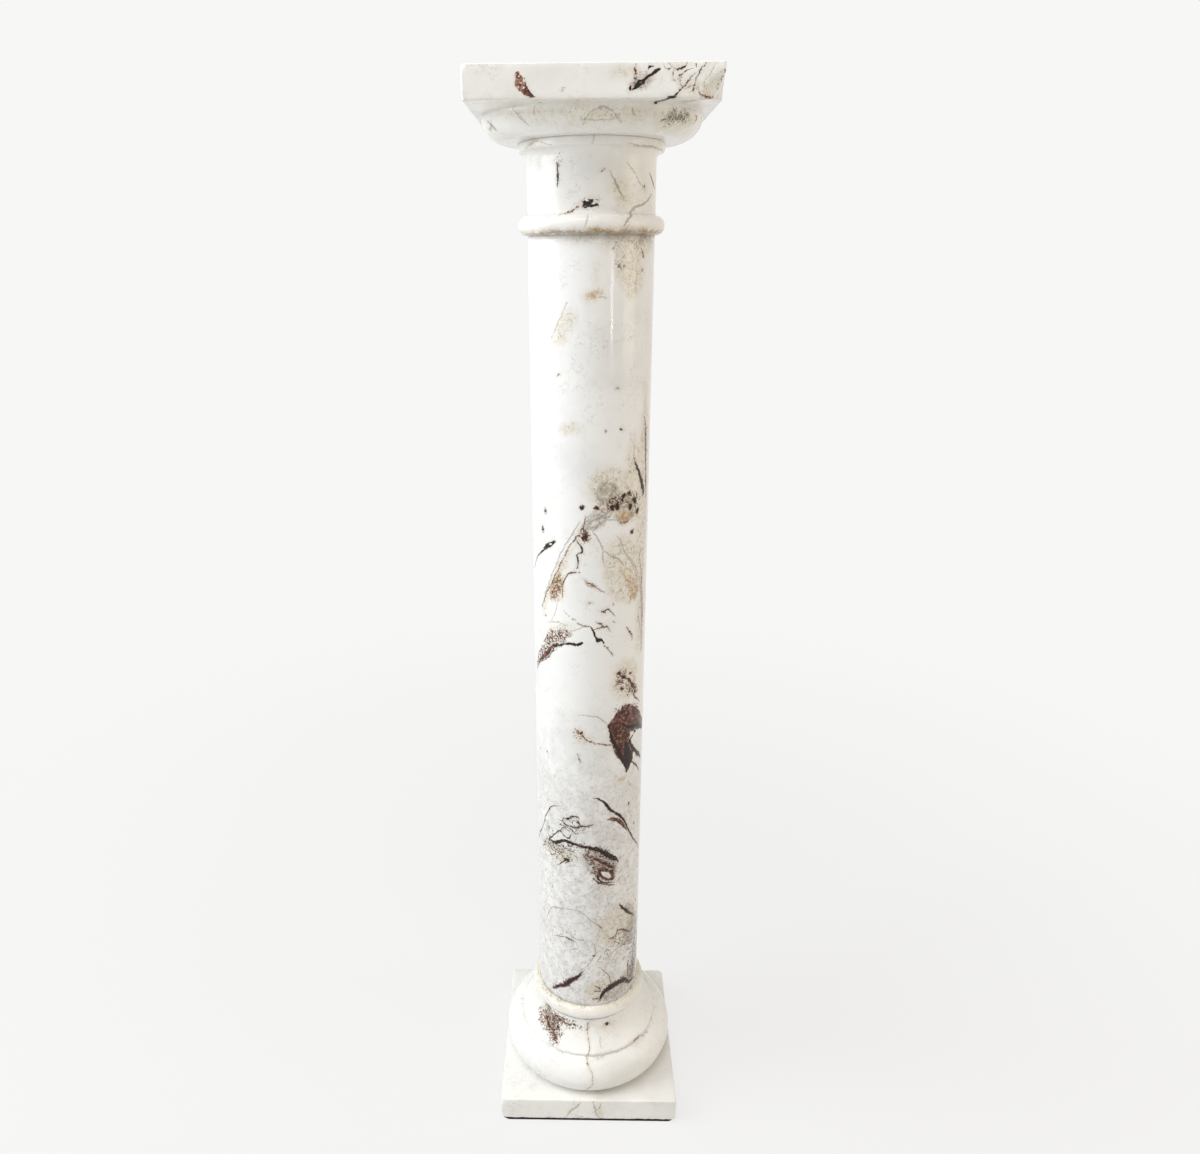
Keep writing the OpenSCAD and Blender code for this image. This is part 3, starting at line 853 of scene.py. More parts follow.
# The black lace and the white eye below the middle.
stone.draw(
    ("ink", (3, 406, 1.2), (9, 403, 1.8), (14.5, 399, 2.4), (23, 388, 3), (30.5, 382, 3),
     (35.5, 376, 2.8), (40.5, 368, 2.6), (46, 357, 2.2), (50.5, 347, 2), (59.5, 334, 1.6),
     (69, 320, 1.4), (72, 313, 1.2)),
    ("rust", (19.5, 377, 3), (29, 375, 5), (37.5, 366, 5), (45, 355, 3)),
    ("ink", (-33, 389, 1), (-44, 383, 1.4), (-49, 376, 1.2), (-55, 365, 1.4), (-60, 352, 1.2),
     (-70, 335, 1.4), (-76, 323, 1)),
    ("ink", (-31, 375, 1.2), (-22, 378, 1.5), (-13.5, 381, 1.6), (-9, 377, 1.2)),
    ("ink", (-31, 375, 1.2), (-25, 369, 1.8), (-16, 368, 1.6), (-7, 371, 1.8), (6, 372.5, 1.2)),
    ("ink", (-19, 363, 1.2), (-20, 356, 1.4), (-23, 353, 1.4), (-29, 354.5, 1.6), (-32, 357.5, 1.6),
     (-39, 352, 1.8), (-45, 345, 1.6), (-53, 338, 1.2)),
    ("ink", (-51, 341, 1.6), (-43, 341, 3.4), (-32, 344, 4), (-25, 348, 4.6), (-17, 347, 4),
     (-11, 345, 2.6), (-4, 344, 3), (5, 342.5, 4.4), (13.5, 338, 5), (22, 331, 6), (30, 325, 5),
     (34.5, 319, 2.4)),
    ("lace", -36, 331, 54, 26),
    ("lace", -50, 352, 22, 26),
    ("grit", (-46, 339, 6), (-30, 343, 9), (-10, 344, 9), (6, 340, 12), (20, 331, 14), (34, 319, 10)),
    ("lace", -22, 366, 34, 18),
    ("ink", (-13, 378, 0.8), (-10, 372, 1), (-16, 368, 1)),
    ("ink", (-36, 352, 0.9), (-30, 362, 1.1), (-24, 366, 1), (-16, 362, 0.9), (-13, 356, 0.8)),
    ("speck", -34, 336, 52, 16, 4),
    ("wash", -34, 330, 56, 26),
    ("grit", 10, 326, 52, 26, -38),
    ("grit", 16, 314, 40, 26, -38),
    ("smoke", 12, 322, 50, 34, -38),
    ("smoke", (-4, 338, 10), (8, 330, 18), (20, 320, 20), (32, 308, 14)),
    ("rust", 19, 307.5, 26, 14, -43),
    ("clean", 19.5, 307, 14, 6, -43),
    ("ink", (9.5, 312, 1.6), (9.4, 306, 1.8), (12, 300, 2), (19, 296.4, 2.2), (31, 294, 2),
     (38, 296, 1.6)),
    ("rust", (-8, 334, 2), (2, 331, 3), (12, 325, 4), (22, 318, 4), (30, 311, 3)),
    ("rust", (4, 306, 2), (10, 298, 3), (18, 294, 2.6), (30, 291, 2)),
    ("ink", -25, 324, 7, 5),
    ("ink", (-25, 323, 2), (-31, 318, 1.5), (-37, 312, 1)),
    ("rust", (-3, 313, 1.2), (0, 318, 1.4)),
    ("ochre", 37, 422, 15, 8),
    ("rust", (46.5, 416, 1.6), (49, 409, 1.6)),
    ("ink", 47, 386, 2.4, 3.4),
    ("ink", 57, 356, 2.4, 2.4),
    ("haze", (45.5, 379.5, 1.2), (52.5, 366.5, 1.2)),
    ("ink", -65, 445.5, 2, 2),
    ("ink", -50, 449, 2, 2),
    ("rust", (-13, 458, 1), (-10, 447, 1)))
# The big red-brown patch on the right.
stone.draw(
    ("rust", (38, 506, 6), (32, 497, 14), (33, 490, 30), (35, 482, 31), (34.5, 474, 27), (35, 463, 21),
     (40.5, 451, 21), (44.5, 442, 18), (44, 434, 9), (43, 427, 4)),
    ("rust", (22, 490, 6), (34, 492, 19), (46, 489, 26), (56, 484, 21), (66, 477, 17), (77, 471, 12)),
    ("ink", (19, 489, 2.2), (22, 478, 3.4), (26.5, 466, 4), (31.5, 456, 4.4), (36, 446, 5),
     (41, 436, 5), (43, 428, 3)),
    ("ink", (34, 488, 2.4), (46, 480, 4), (58, 476.5, 5), (68, 470, 5), (77, 465, 5)),
    ("ink", (48, 475, 2), (54, 470, 2.6), (47, 463.5, 3.6), (50, 456, 4), (54, 449, 4), (62, 441, 3.6),
     (72, 431, 3)),
    ("rust", (54, 450, 5), (62, 441, 6), (72, 431, 4)),
    ("ink", (48, 439, 2), (54, 434, 2), (61, 426, 2), (69, 417, 1.4)),
    ("ink", (41, 466, 4), (43, 452, 9), (45, 442, 11), (43, 432, 7)),
    ("grit", 44, 500, 44, 18, -10),
    ("rust", (34, 507, 5), (44, 503, 8), (56, 494, 8), (66, 486, 6)),
    ("speck", 44, 496, 36, 20, -14),
    ("clean", 54, 443, 5, 7),
    ("clean", 49.5, 434, 4, 4),
    ("clean", (51, 467, 4), (58, 463, 12), (66, 459, 16), (75, 454, 16)),
    ("rust", (-3, 475.5, 1.2), (1.5, 472.5, 1.2), (7.5, 469, 1.4), (22, 466, 1.6), (30, 462, 1.6)),
    ("wash", -8, 477, 24, 24),
    ("grit", -9, 480, 16, 12),
    ("rust", (-16, 486, 1.4), (-8, 480, 2), (0, 473, 1.8), (6, 470, 1.2)),
    ("haze", (-13, 502, 1), (5, 501.5, 1.2), (11.5, 497, 1.4), (17.5, 491, 1.4)))
# Spots and the black thread above it, with the red-brown band on the left.
for across, height, wide, tall in ((30, 546, 5, 4), (31.5, 536, 5, 5), (34.5, 527, 6, 4),
                                   (46, 541.5, 5, 3.5), (48.5, 525, 5, 4), (53.5, 518, 4, 5),
                                   (42.5, 534, 4, 3)):
    stone.dab("rust", across, height, wide, tall)
stone.draw(
    ("wash", 42, 533, 32, 44),
    ("rust", (28, 548, 2), (36, 540, 2.6), (43, 535, 3.4), (50, 524, 4), (56, 515, 2.4)),
    ("wash", 40, 536, 40, 50),
    ("grit", 34, 540, 16, 24, -20),
    ("grit", 46, 525, 24, 14, -35),
    ("rust", (44, 527, 1.2), (54, 512, 1.6), (66, 500, 1.4)),
    ("rust", (-13, 602, 1.4), (-5, 600, 2), (0, 600, 2)),
    ("ink", (0, 600, 1.6), (2.5, 595.5, 2.2), (5, 590.5, 2.6), (8, 585, 4.2), (10, 585.2, 4),
     (14.5, 580.5, 2)),
    ("rust", (14.5, 579, 1.6), (18.5, 573, 1.4), (24, 565, 1)),
    ("rust", (3.5, 596, 1), (13.5, 598, 1.3), (20, 593, 1.2)),
    ("rust", (5, 604, 1), (12, 600, 1.2), (15, 597, 1)),
    ("haze", (-20, 593.5, 1.2), (-13, 595.5, 1.2), (-5, 599, 1.2)),
    ("ink", (-5.5, 581, 2.4), (-7.5, 580, 3.2), (-12.5, 578.5, 3.6), (-20, 579, 3.4),
     (-26.5, 578.5, 2), (-30.5, 577, 1.2), (-37, 571.5, 0.9), (-43.5, 563, 0.9), (-48, 559, 0.9),
     (-55.5, 551.5, 0.9), (-64, 543.5, 0.9), (-71, 533.5, 0.8)),
    ("grit", (-16, 590, 5), (-26, 588, 13), (-34, 584, 18), (-42, 577, 20), (-50, 568, 17),
     (-58, 558, 12), (-66, 547, 8), (-72, 537, 5)),
    ("rust", (-22, 580, 1.4), (-36, 574, 3), (-44, 568, 4.6), (-52, 560, 4.6), (-60, 550, 3),
     (-68, 541, 1.6)),
    ("speck", (-24, 580, 4), (-36, 574, 9), (-48, 564, 12), (-58, 553, 10), (-68, 541, 5)),
    ("rust", (-55, 567, 1.5), (-50, 563, 1.8), (-45, 563, 1.6)),
    ("wash", -34, 588, 44, 22, 30),
    ("haze", (-48, 596, 1), (-36, 600, 1.2), (-22, 598, 1)))
for across, height, wide, tall in ((0, 624, 3.6, 1.6), (13.5, 614, 3.4, 3), (-49, 603.5, 1.8, 1.8)):
    stone.dab("ink", across, height, wide, tall)
stone.draw(
    ("rust", (22, 622, 1.5), (25, 620, 1.2)),
    ("rust", (13.5, 614, 1.4), (18, 617, 1.4), (22, 613.5, 1.2), (26, 608, 1.2)),
    ("rust", (22, 603, 1.2), (27, 601, 1.2)),
    ("rust", (-18, 607, 1.2), (-13, 605, 1.2)),
    ("haze", (-27.5, 613, 1), (-19.5, 608.5, 1)),
    ("rust", (38, 594, 1.2), (45.5, 583, 1.4), (47.5, 577, 1.2)),
    ("haze", (55.5, 607, 1.3), (59.5, 592, 1.5), (63.5, 574, 1.5), (63, 555, 1.2)))
# The long diagonal and the marks around it, with painted warm light down the shaft's right side.
stone.draw(
    ("rust", (-4, 711, 1.2), (-6, 701.5, 1.5), (-9.5, 695, 1.5), (-13.5, 689, 1.6), (-18, 682, 1.4),
     (-21.5, 676, 1.3), (-25.5, 668, 1.3), (-29.5, 662, 1.3), (-33, 652, 1.3), (-40, 641.5, 1.3),
     (-47, 629.5, 1.3), (-51, 620.5, 1.3), (-54.5, 609, 1)),
    ("rust", -4.5, 692, 6, 9),
    ("grit", -4.5, 692, 12, 16),
    ("wash", -5, 692, 18, 22),
    ("ink", (-13.5, 688.5, 1.4), (-10.5, 684, 1.8), (-7.5, 680, 2), (-7, 678, 1.8), (-9.5, 673, 1.6),
     (-12.5, 670.5, 1.6), (-12, 664, 1.4), (-12.5, 658, 1)),
    ("rust", (-9, 655, 1.1), (-14, 655, 1.2), (-19, 653.5, 1.4), (-23, 648, 1.3), (-26.5, 641, 1.3),
     (-28, 632, 1.2), (-30, 625, 1)),
    ("ochre", -34, 637, 14, 26, -22),
    ("grit", -35, 637, 14, 28, -22),
    ("wash", (-8, 690, 6), (-20, 672, 10), (-32, 650, 14), (-46, 624, 14), (-54, 600, 12)),
    ("haze", (-32, 626, 1), (-36, 612, 1.1), (-44, 596, 1)),
    ("wash", -34, 637, 26, 34, 25),
    ("ink", (-35, 684, 2), (-42, 679, 5), (-49, 674.5, 4.6), (-53, 669, 2), (-61, 663, 1.4),
     (-68, 655, 1.4), (-75, 645, 1)),
    ("clean", -42, 679.5, 3, 1.8),
    ("rust", -48, 711, 3.4, 5),
    ("rust", -52, 691.5, 3.4, 6),
    ("haze", (-5, 642.5, 2), (0, 641, 2), (5, 643.5, 2)),
    ("rust", (8.5, 636.5, 1.2), (14.5, 634, 1.2)))
for across, height, wide, tall in ((-7.5, 718.6, 3.5, 2.5), (20.5, 718, 2.5, 5), (26, 719, 3, 6),
                                   (32.5, 728, 2.5, 3), (41, 716.5, 2.5, 3), (46, 721.5, 3, 5),
                                   (51, 710, 2.4, 3), (39, 730, 2.4, 2.4), (6, 718, 2.2, 2.2),
                                   (44, 691, 2.2, 2.2)):
    stone.draw(
        ("ink", across, height, wide + 0.6, tall + 0.6),
        ("rust", across, height, wide + 3, tall + 3))
stone.draw(
    ("rust", (27.5, 702, 1.6), (34, 701.4, 2), (40.5, 702, 1.6)),
    ("smoke", 17, 730, 18, 20, -20),
    ("smoke", 30, 718, 40, 12, 8),
    ("smoke", 12, 712, 24, 14, 35),
    ("smoke", 36, 708, 28, 16),
    ("grit", 22, 722, 26, 14, 30),
    ("speck", 44, 722, 24, 18, -20),
    ("haze", (-2, 702, 1.4), (6, 708, 1.6), (14, 712, 1.6), (22, 716, 1.2)),
    ("haze", (4, 698, 1.2), (10, 704, 1.4), (18, 706, 1.4), (28, 704, 1.2)),
    ("smoke", 16, 730, 26, 26, -10),
    ("smoke", 4, 706, 26, 18, 40),
    ("wash", 24, 734, 60, 50),
    ("rust", (60, 800, 1.2), (64, 782, 2.4), (66, 757, 3), (68, 732, 2.6), (70, 712, 1.4)),
    ("rust", (47, 758, 2), (52, 748, 3.4), (57, 738, 4), (60, 728, 3)),
    # Painted warm light: a pale wash band down the shaft's right side.
    ("wash", (60, 830, 12), (62, 780, 26), (60, 730, 34), (60, 670, 26), (62, 600, 18)),
    ("ochre", 35, 708, 18, 12),
    ("wash", 36, 728, 48, 60),
    ("wash", 46, 752, 30, 60),
    ("ink", (45, 762, 1.4), (49, 753, 2.6), (54.5, 743, 3.6), (58.5, 735, 4.4), (62, 726, 4.4),
     (61, 721, 2)),
    ("rust", (67, 789, 1.2), (66, 786, 1.4), (65, 769, 1.6), (68, 764, 1.2)),
    ("haze", (44, 761, 1.2), (44.5, 775, 1.2)),
    ("haze", (50.5, 762, 1.2), (50, 772, 1.2)),
    ("ochre", (29, 659, 2), (37.5, 646, 3), (44.5, 638, 3), (51.5, 634, 2)),
    ("ochre", (37, 657, 2), (44, 651, 2.4), (50.5, 643, 2)),
    ("haze", (44.5, 628, 1.4), (43, 621, 1.4), (41, 617, 1.2)),
    # Partly painted warm light on the shaft's right side, partly the stone's beige cloud.
    ("wash", 38, 652, 56, 76, 20),
    ("ochre", 48, 632, 16, 26, 20),
    ("haze", (26, 690, 1), (36, 672, 1.3), (47, 654, 1.3), (53, 636, 1.2), (50, 618, 1)),
    ("haze", (40, 668, 1), (52, 650, 1.3), (60, 628, 1.2), (62, 606, 1)),
    # Painted warm light: the wash band on the right side carried lower.
    ("wash", 60, 600, 20, 90),
    ("haze", (66, 660, 1.6), (62, 630, 2.2), (64, 606, 2), (66, 582, 2.2), (65, 560, 1.6)),
    ("rust", (56, 668, 0.8), (61, 640, 1.2), (66, 610, 1.4), (68, 580, 1), (66, 556, 0.8)),
    ("ochre", 3, 641, 18, 5, -30),
    ("rust", (-6, 645, 0.8), (2, 642, 1.4), (9, 637, 1.2), (15, 634, 0.8)),
    ("haze", (-10, 706, 1.2), (-16, 694, 1.4), (-24, 680, 1.4), (-31, 668, 1.2), (-38, 652, 1.2),
     (-46, 636, 1.1), (-53, 616, 1)),
    ("haze", (12, 677, 1.2), (18.5, 672, 1.4), (28.5, 665, 1.4), (35, 658, 1.2)),
    ("haze", (2, 697, 1.3), (6.5, 689.5, 1.5), (10.5, 680, 1.5), (12, 668, 1.4), (13, 660.5, 1.2)))
# Under the collar.
stone.draw(
    ("wash", 40, 948, 74, 26),
    ("wash", -20, 951, 70, 12),
    ("wash", 34, 930, 34, 60, 25),
    ("smoke", 40, 951, 60, 8),
    ("speck", 26, 932, 13, 13),
    ("rust", (17, 942, 1.2), (22, 950, 1.4)),
    ("rust", (40, 947, 1.4), (43, 951, 1.4)),
    ("rust", (48, 945, 1.4), (50, 940, 1.6), (52, 936, 1.2)),
    ("rust", (50, 928, 1.4), (50.3, 924, 1.2)),
    ("ochre", 0, 906, 13, 6, 15),
    ("wash", 0, 906, 24, 14),
    ("wash", -20, 790, 26, 14),
    ("wash", -26, 880, 20, 50, -30),
    ("haze", (5, 905, 1.2), (14, 904, 1)),
    ("wash", 4, 926, 10, 24),
    ("haze", (-38, 869, 0.7), (-30, 886, 0.9), (-22, 901, 0.7)))
for across, height in ((-30.5, 838.5), (25, 827), (13.5, 789.5), (29, 790)):
    stone.dab("rust", across, height, 2.6, 2.2)
# The hidden back of the shaft, veined in the same way.
for turn, rise in ((1, 0), (-1, 47)):
    stone.draw(
        ("ink", (turn * 100, 190 + rise, 1.4), (turn * 112, 178 + rise, 3.2),
         (turn * 128, 160 + rise, 5), (turn * 146, 152 + rise, 3), (turn * 166, 139 + rise, 1.2)),
        ("ink", (turn * 84, 402 + rise, 1.2), (turn * 97, 386 + rise, 2.6),
         (turn * 109, 362 + rise, 3.2), (turn * 127, 347 + rise, 2), (turn * 150, 318 + rise, 1.2)),
        ("rust", (turn * 90, 520 + rise, 4), (turn * 108, 511 + rise, 11),
         (turn * 124, 494 + rise, 14), (turn * 140, 470 + rise, 7), (turn * 150, 452 + rise, 3)),
        ("ink", (turn * 96, 508 + rise, 2), (turn * 114, 498 + rise, 5), (turn * 130, 479 + rise, 4),
         (turn * 142, 462 + rise, 2)),
        ("rust", (turn * 82, 640 + rise, 1.2), (turn * 100, 628 + rise, 1.8),
         (turn * 121, 600 + rise, 1.6), (turn * 149, 571 + rise, 1.2)),
        ("ink", (turn * 92, 760 + rise, 1), (turn * 103, 741 + rise, 2.8), (turn * 117, 728 + rise, 2),
         (turn * 133, 699 + rise, 1.2)),
        ("haze", (turn * 150, 905 + rise / 2, 1), (turn * 138, 880, 2), (turn * 118, 862, 1.4)),
        ("haze", (turn * 80, 336 + rise, 1), (turn * 104, 352 + rise, 1.4),
         (turn * 140, 361 + rise, 1.2), (turn * 172, 377 + rise, 1)),
        ("haze", (turn * 97, 216 + rise, 1), (turn * 126, 232 + rise, 1.3),
         (turn * 155, 239 + rise, 1), (turn * 176, 246 + rise, 0.8)),
        ("rust", (turn * 152, 826 + rise / 2, 1), (turn * 163, 812 + rise / 2, 3.4),
         (turn * 172, 795 + rise / 2, 1.4)),
        ("lace", turn * 118, 352 + rise, 60, 28),
        ("speck", turn * 128, 488 + rise, 50, 20, turn * -50),
        ("grit", turn * 136, 474 + rise, 40, 14, turn * -48),
        ("speck", turn * 128, 712 + rise, 34, 9, turn * -50),
        ("wash", (turn * 92, 526 + rise, 4), (turn * 118, 500 + rise, 16), (turn * 146, 458 + rise, 5)),
        ("wash", (turn * 94, 752 + rise, 3), (turn * 116, 722 + rise, 11), (turn * 140, 684 + rise, 4)))
# Ten stretches of the one shaft share the same clouds; each has the strokes that reach it.
stretch_edges = (0, 165, 215, 330, 420, 520, 600, 665, 705, 745, 2000)
stretch_overlap = 12
shaft_ground, shaft_cloud = linear(240, 240, 239), linear(228, 228, 227)
stretch_marbles = []
for number, (low, high) in enumerate(zip(stretch_edges, stretch_edges[1:])):
    stretch = Marble("veined_marble_%d" % (number + 1))
    stone.lay(stretch, low, high, stretch_overlap)
    stretch_marbles.append(stretch.finish(shaft_ground, shaft_cloud, brown_tones, black_tones, 0.13,
                                          ragged_edge=2.8, shade_and_hairs_below=560.0))
shaft = turned_piece("marble_shaft", shaft_profile, stretch_marbles[0], 288, 0.001, 0.0010, 60.0)
for marble in stretch_marbles[1:]:
    shaft.data.materials.append(marble)
for polygon in shaft.data.polygons:
    polygon.material_index = sum(polygon.center.z * 1000 > edge for edge in stretch_edges[1:-1])
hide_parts("shaft")
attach(shaft, "root")


# Capital: one block of white marble, from the half-round collar through the neck, a cove, a
# narrow ring and the quarter-round echinus to the square abacus. It is cemented on the shaft.
# The abacus has lost its lower right corner, and its stone is full of brown and black threads.
capital_low, capital_high = (Vector(c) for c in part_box("capital"))
abacus_half = capital_high.x
abacus_foot = capital_high.z - 0.025
collar_tube = 0.00825
collar_middle = (0.05725, capital_low.z + collar_tube)
neck_radius = 0.057
cove_radius = 0.006
cove_foot = capital_low.z + 2 * collar_tube + 0.045
band_foot = cove_foot + cove_radius
band_top = band_foot + 0.0075
band_edge = 0.002
band_middle = 0.062
echinus_radius = 0.020
echinus_middle = (0.075, band_top + echinus_radius)
capital_profile = (
    rows([(r, capital_low.z) for r in steps(0.0, collar_middle[0], 5)[:-1]])
    + rows(arc(collar_middle, collar_tube, -90, 90, 20), 0.0, 0.3)
    + rows([(neck_radius, z) for z in steps(capital_low.z + 2 * collar_tube, cove_foot, 14)[1:-1]], 0.0, 0.08)
    + rows(arc((neck_radius + cove_radius, cove_foot), cove_radius, 180, 90, 8), 0.0, 0.1)
    + rows(arc((band_middle, band_foot + band_edge), band_edge, -60, 0, 4), 0.0, 0.4)
    + rows(arc((band_middle, band_top - band_edge), band_edge, 0, 90, 5), 0.0, 0.4)
    + rows([(0.066, band_top), (0.0705, band_top)])
    + rows(arc(echinus_middle, echinus_radius, -90, 0, 24), 0.0, 0.12)
    + [(0.0957, abacus_foot, 0.15, 0.0), (0.0968, abacus_foot, 0.5, 0.0), (0.0980, abacus_foot, 0.85, 0.0)]
    + eased_slab_side(abacus_half, abacus_foot, capital_high.z, arris, 1.0)
    + rows([(r, capital_high.z) for r in steps(abacus_half - arris, 0.0, 6)[1:]], 1.0))

copper_tones = (linear(158, 98, 66), linear(98, 56, 40))
capital_marble = Marble("white_marble_capital", square_above=1049.4)
stone = capital_marble
# Collar and neck.
stone.draw(
    ("ink", (-30, 992, 1.4), (-30.4, 1000, 2.8), (-30, 1004, 1.8), (-30, 1012, 3)),
    ("speck", -30, 1002, 6, 24),
    ("ink", -3.5, 980.5, 11, 5, 24),
    ("ink", (-8, 976, 1.4), (-2, 978, 2), (4, 978.4, 2.4), (6, 976, 1.4)),
    ("speck", -2, 979, 19, 11, 10),
    ("clean", -4.5, 982, 3.4, 2),
    ("clean", 1.5, 980, 2.6, 1.8),
    ("rust", (-11, 977, 2), (-20, 973, 1.5), (-28, 970, 1)),
    ("rust", (7, 1002, 1.2), (11, 1006, 1.4)),
    ("haze", (14, 1004, 1.2), (18, 998, 1.4), (22, 991, 1.6), (28, 984, 1.4)),
    ("wash", 24, 988, 22, 26, 40),
    ("ochre", 20, 994, 4, 4),
    ("ink", (58, 1005, 1.2), (66, 999, 1.5), (74, 992, 1.2)),
    ("haze", (66, 988, 2), (50, 980, 2.4), (33, 971, 2.4), (23, 961, 2)),
    ("ink", 51, 993, 2.4, 2.4),
    ("haze", (30, 1012, 0.8), (40, 1000, 1), (52, 990, 1)),
    ("wash", (-80, 957, 9), (-20, 957, 9), (30, 958, 12), (80, 959, 14)),
    ("ochre", (-80, 957.5, 2), (-20, 957.6, 3), (40, 958, 4), (80, 958, 4)),
    ("haze", (-70, 956.2, 1.6), (-30, 956.2, 2.4), (10, 956.2, 2.8), (50, 956.2, 3.2),
     (85, 956.2, 2.6)),
    ("smoke", (-60, 956, 2), (-10, 956, 3), (50, 956, 4), (80, 956, 3)),
    ("haze", (-5, 960, 1.2), (-3, 970, 1.2)))
# Narrow ring and echinus, with painted shade along the top of the echinus under the abacus.
stone.draw(
    ("haze", (27, 1024, 1), (45, 1022.8, 1.6), (75, 1023.4, 1.4)),
    ("haze", (-62, 1024, 0.8), (-44, 1026, 1.2), (-30, 1024, 0.8)),
    ("wash", -52, 1026, 26, 9),
    ("wash", 40, 1024, 50, 9),
    ("haze", (0, 1022, 1), (1.5, 1029, 1)),
    ("haze", (-42, 1048, 0.7), (-38, 1041, 0.9), (-34, 1034, 0.7)),
    ("haze", (-28, 1048, 0.8), (-29, 1041, 1.1)),
    ("haze", (-75, 1047, 1), (-68, 1038, 1.2), (-60, 1046, 1)),
    ("haze", (-5, 1034, 0.7), (4, 1045, 0.9), (15, 1035, 0.8)),
    ("haze", (-2, 1038, 0.6), (8, 1037, 0.7), (14, 1042, 0.6)),
    ("haze", (19, 1046, 1.4), (21, 1040, 1.4)),
    ("speck", 46, 1042, 24, 11),
    ("wash", 46, 1040, 40, 18),
    ("rust", (62, 1047, 1.2), (66, 1043, 1.5), (64, 1039, 1.2)),
    ("ink", (75, 1048, 1.2), (80, 1041, 1.6), (85, 1033, 1.2)),
    # Painted shade: the pale wash along the top of the echinus, under the abacus.
    ("wash", 4, 1041, 84, 14),
    ("wash", 4, 1041, 50, 10),
    ("wash", (-60, 1046, 4), (-10, 1043, 12), (40, 1043, 14), (80, 1044, 8)),
    ("smoke", 48, 1042, 22, 8),
    ("ink", (-67, 1044, 0.8), (-64, 1040, 1.1), (-62, 1035, 0.8)))
# Painted shade: a thin wash ring in the corner under the abacus.
stone.add("wash", stone.minus(1.6, stone.calc("ABSOLUTE", stone.minus(stone.height, 1048.8))))
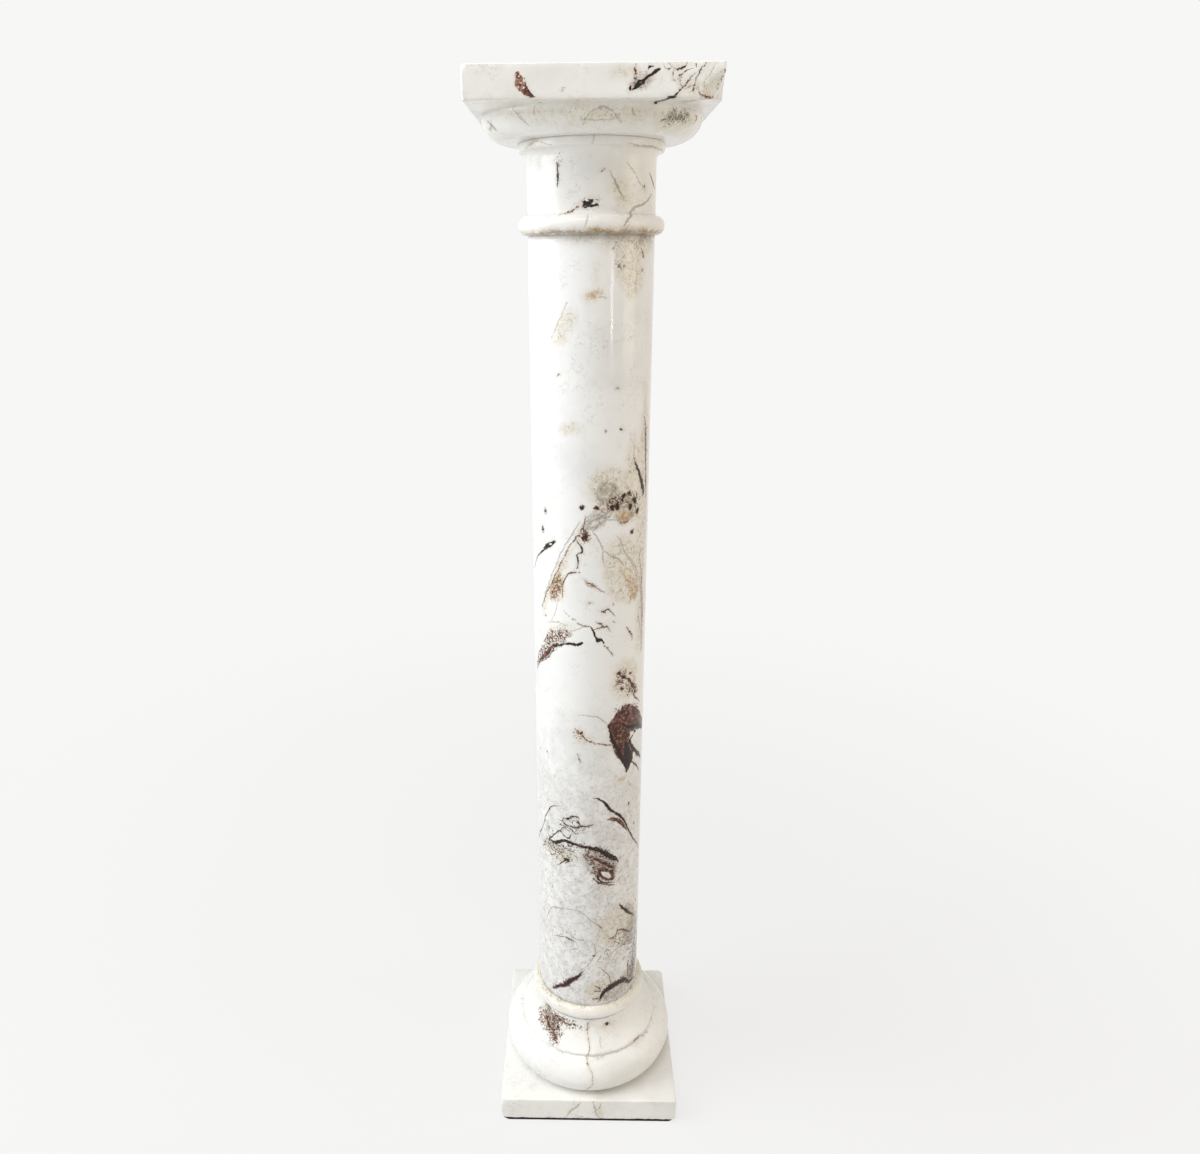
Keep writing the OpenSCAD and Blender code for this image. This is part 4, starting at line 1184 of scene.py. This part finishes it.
# The front side of the abacus, in millimetres from its middle.
stone.draw(
    ("rust", (-57, 1069, 3), (-55.6, 1064, 6), (-54, 1058, 6.4), (-50.5, 1054, 3.8), (-46, 1050, 4)))
for across, height, wide, tall in ((-55.5, 1065, 1.2, 1.8), (-53.6, 1060.6, 1.4, 1.4),
                                   (-55.6, 1058, 1.2, 1.6), (-52, 1057, 1, 1.3)):
    stone.dab("clean", across, height, wide, tall)
stone.draw(
    ("ink", (-51.4, 1064, 0.7), (-50.4, 1058, 0.9), (-48, 1054, 1), (-44, 1050.4, 2)),
    ("rust", (-22, 1058.5, 1.1), (-24, 1054.5, 1)),
    ("rust", (32, 1073.5, 1.2), (32.4, 1066, 1.3), (32, 1056, 1)),
    ("ink", 28.7, 1057, 2.6, 4),
    ("ink", (30, 1056, 2.4), (35, 1060, 4.8), (38, 1061.5, 3.6), (41, 1064.6, 2), (46, 1067.4, 3.2),
     (51, 1069.3, 1.8)),
    ("ink", (40, 1069, 1), (42.5, 1071.4, 1.8), (46, 1071, 1)),
    ("smoke", 36, 1061, 16, 9, 25),
    ("ink", (56, 1073.6, 0.5), (63, 1069.5, 0.74), (67, 1070.8, 1.36), (71, 1074, 0.87)),
    ("ink", (63, 1069.5, 0.5), (60, 1066, 0.5), (62, 1061, 0.43)),
    ("ink", (76, 1074, 0.56), (77.7, 1073, 0.62), (77.4, 1070, 0.62)),
    ("ink", (77.4, 1070, 0.56), (74.3, 1069.5, 0.68), (69, 1068, 0.56), (65, 1064, 0.5),
     (66, 1058, 0.5)),
    ("ink", (85, 1074, 0.99), (82, 1070, 1.12), (80.8, 1066.5, 0.87), (77.4, 1062.5, 0.74),
     (75.5, 1057, 0.74), (75, 1055, 0.99), (71.3, 1053, 0.5)),
    ("ink", (78, 1066, 0.5), (74.5, 1064, 0.68), (70, 1060, 0.74), (66, 1056.5, 0.99),
     (63, 1053.5, 1.49), (58, 1050.6, 1.86)),
    ("haze", (91, 1074, 0.56), (88, 1067, 0.62), (84, 1061, 0.56), (83, 1055, 0.56), (86, 1051, 0.5)),
    ("ink", 59.5, 1051.2, 6, 2.6),
    ("ink", (52, 1074, 0.43), (57, 1069, 0.5), (60, 1074, 0.43)),
    ("ink", (68, 1056, 0.43), (74, 1058, 0.5), (80, 1056, 0.43)),
    ("rust", (79, 1053.5, 1.4), (82, 1051.4, 1.5), (90, 1051, 1.6), (96, 1051.5, 1.2)),
    ("wash", 98, 1060, 9, 18),
    ("speck", 98.5, 1060, 5, 17),
    ("wash", 84, 1056, 34, 18),
    ("wash", 24, 1068, 22, 12))
# Its other three sides.
stone.draw(
    ("ink", (112, 1072, 1.2), (124, 1065, 2.4), (131, 1057, 3), (146, 1052, 1.4)),
    ("rust", (170, 1073, 1.2), (180, 1063, 2.4), (199, 1058, 3), (214, 1051, 1.4)),
    ("lace", 190, 1062, 50, 20),
    ("ink", (252, 1071, 1.2), (262, 1063, 2), (268, 1055, 1.4)),
    ("rust", (-130, 1072, 1.2), (-139, 1062, 2.6), (-158, 1056, 2), (-166, 1051, 1.2)),
    ("speck", -146, 1061, 40, 18),
    ("ink", (-232, 1073, 1), (-241, 1064, 2.4), (-238, 1056, 1.4), (-246, 1051, 1)),
    ("rust", (340, 1072, 1.4), (352, 1063, 3), (371, 1059, 2), (384, 1051, 1.2)),
    ("ink", (-372, 1071, 1.2), (-360, 1066, 2.6), (-341, 1060, 2), (-332, 1053, 1.2)),
    ("wash", 352, 1062, 60, 24))
capital_polished = stone.finish(white_ground, white_cloud, copper_tones, black_tones, 0.2, ragged_edge=1.5)
capital = turned_piece("marble_capital", capital_profile, capital_polished, 400, 0.0016, 0.0030, 120.0)
for place, reach, depth in (((0.1, -0.1, 1.0495), 0.017, 0.0062), ((0.1, -0.1, 1.06), 0.009, 0.0012),
                            ((-0.1, -0.1, 1.074), 0.0045, 0.0012), ((0.0765, -0.0995, 1.0745), 0.004, 0.0007),
                            ((-0.1, 0.1, 1.0505), 0.006, 0.0018), ((0.0995, 0.04, 1.0745), 0.004, 0.0008),
                            ((-0.1, -0.1, 1.0505), 0.004, 0.0012)):
    bite(capital, place, reach, depth)
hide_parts("capital")
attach(capital, "root")
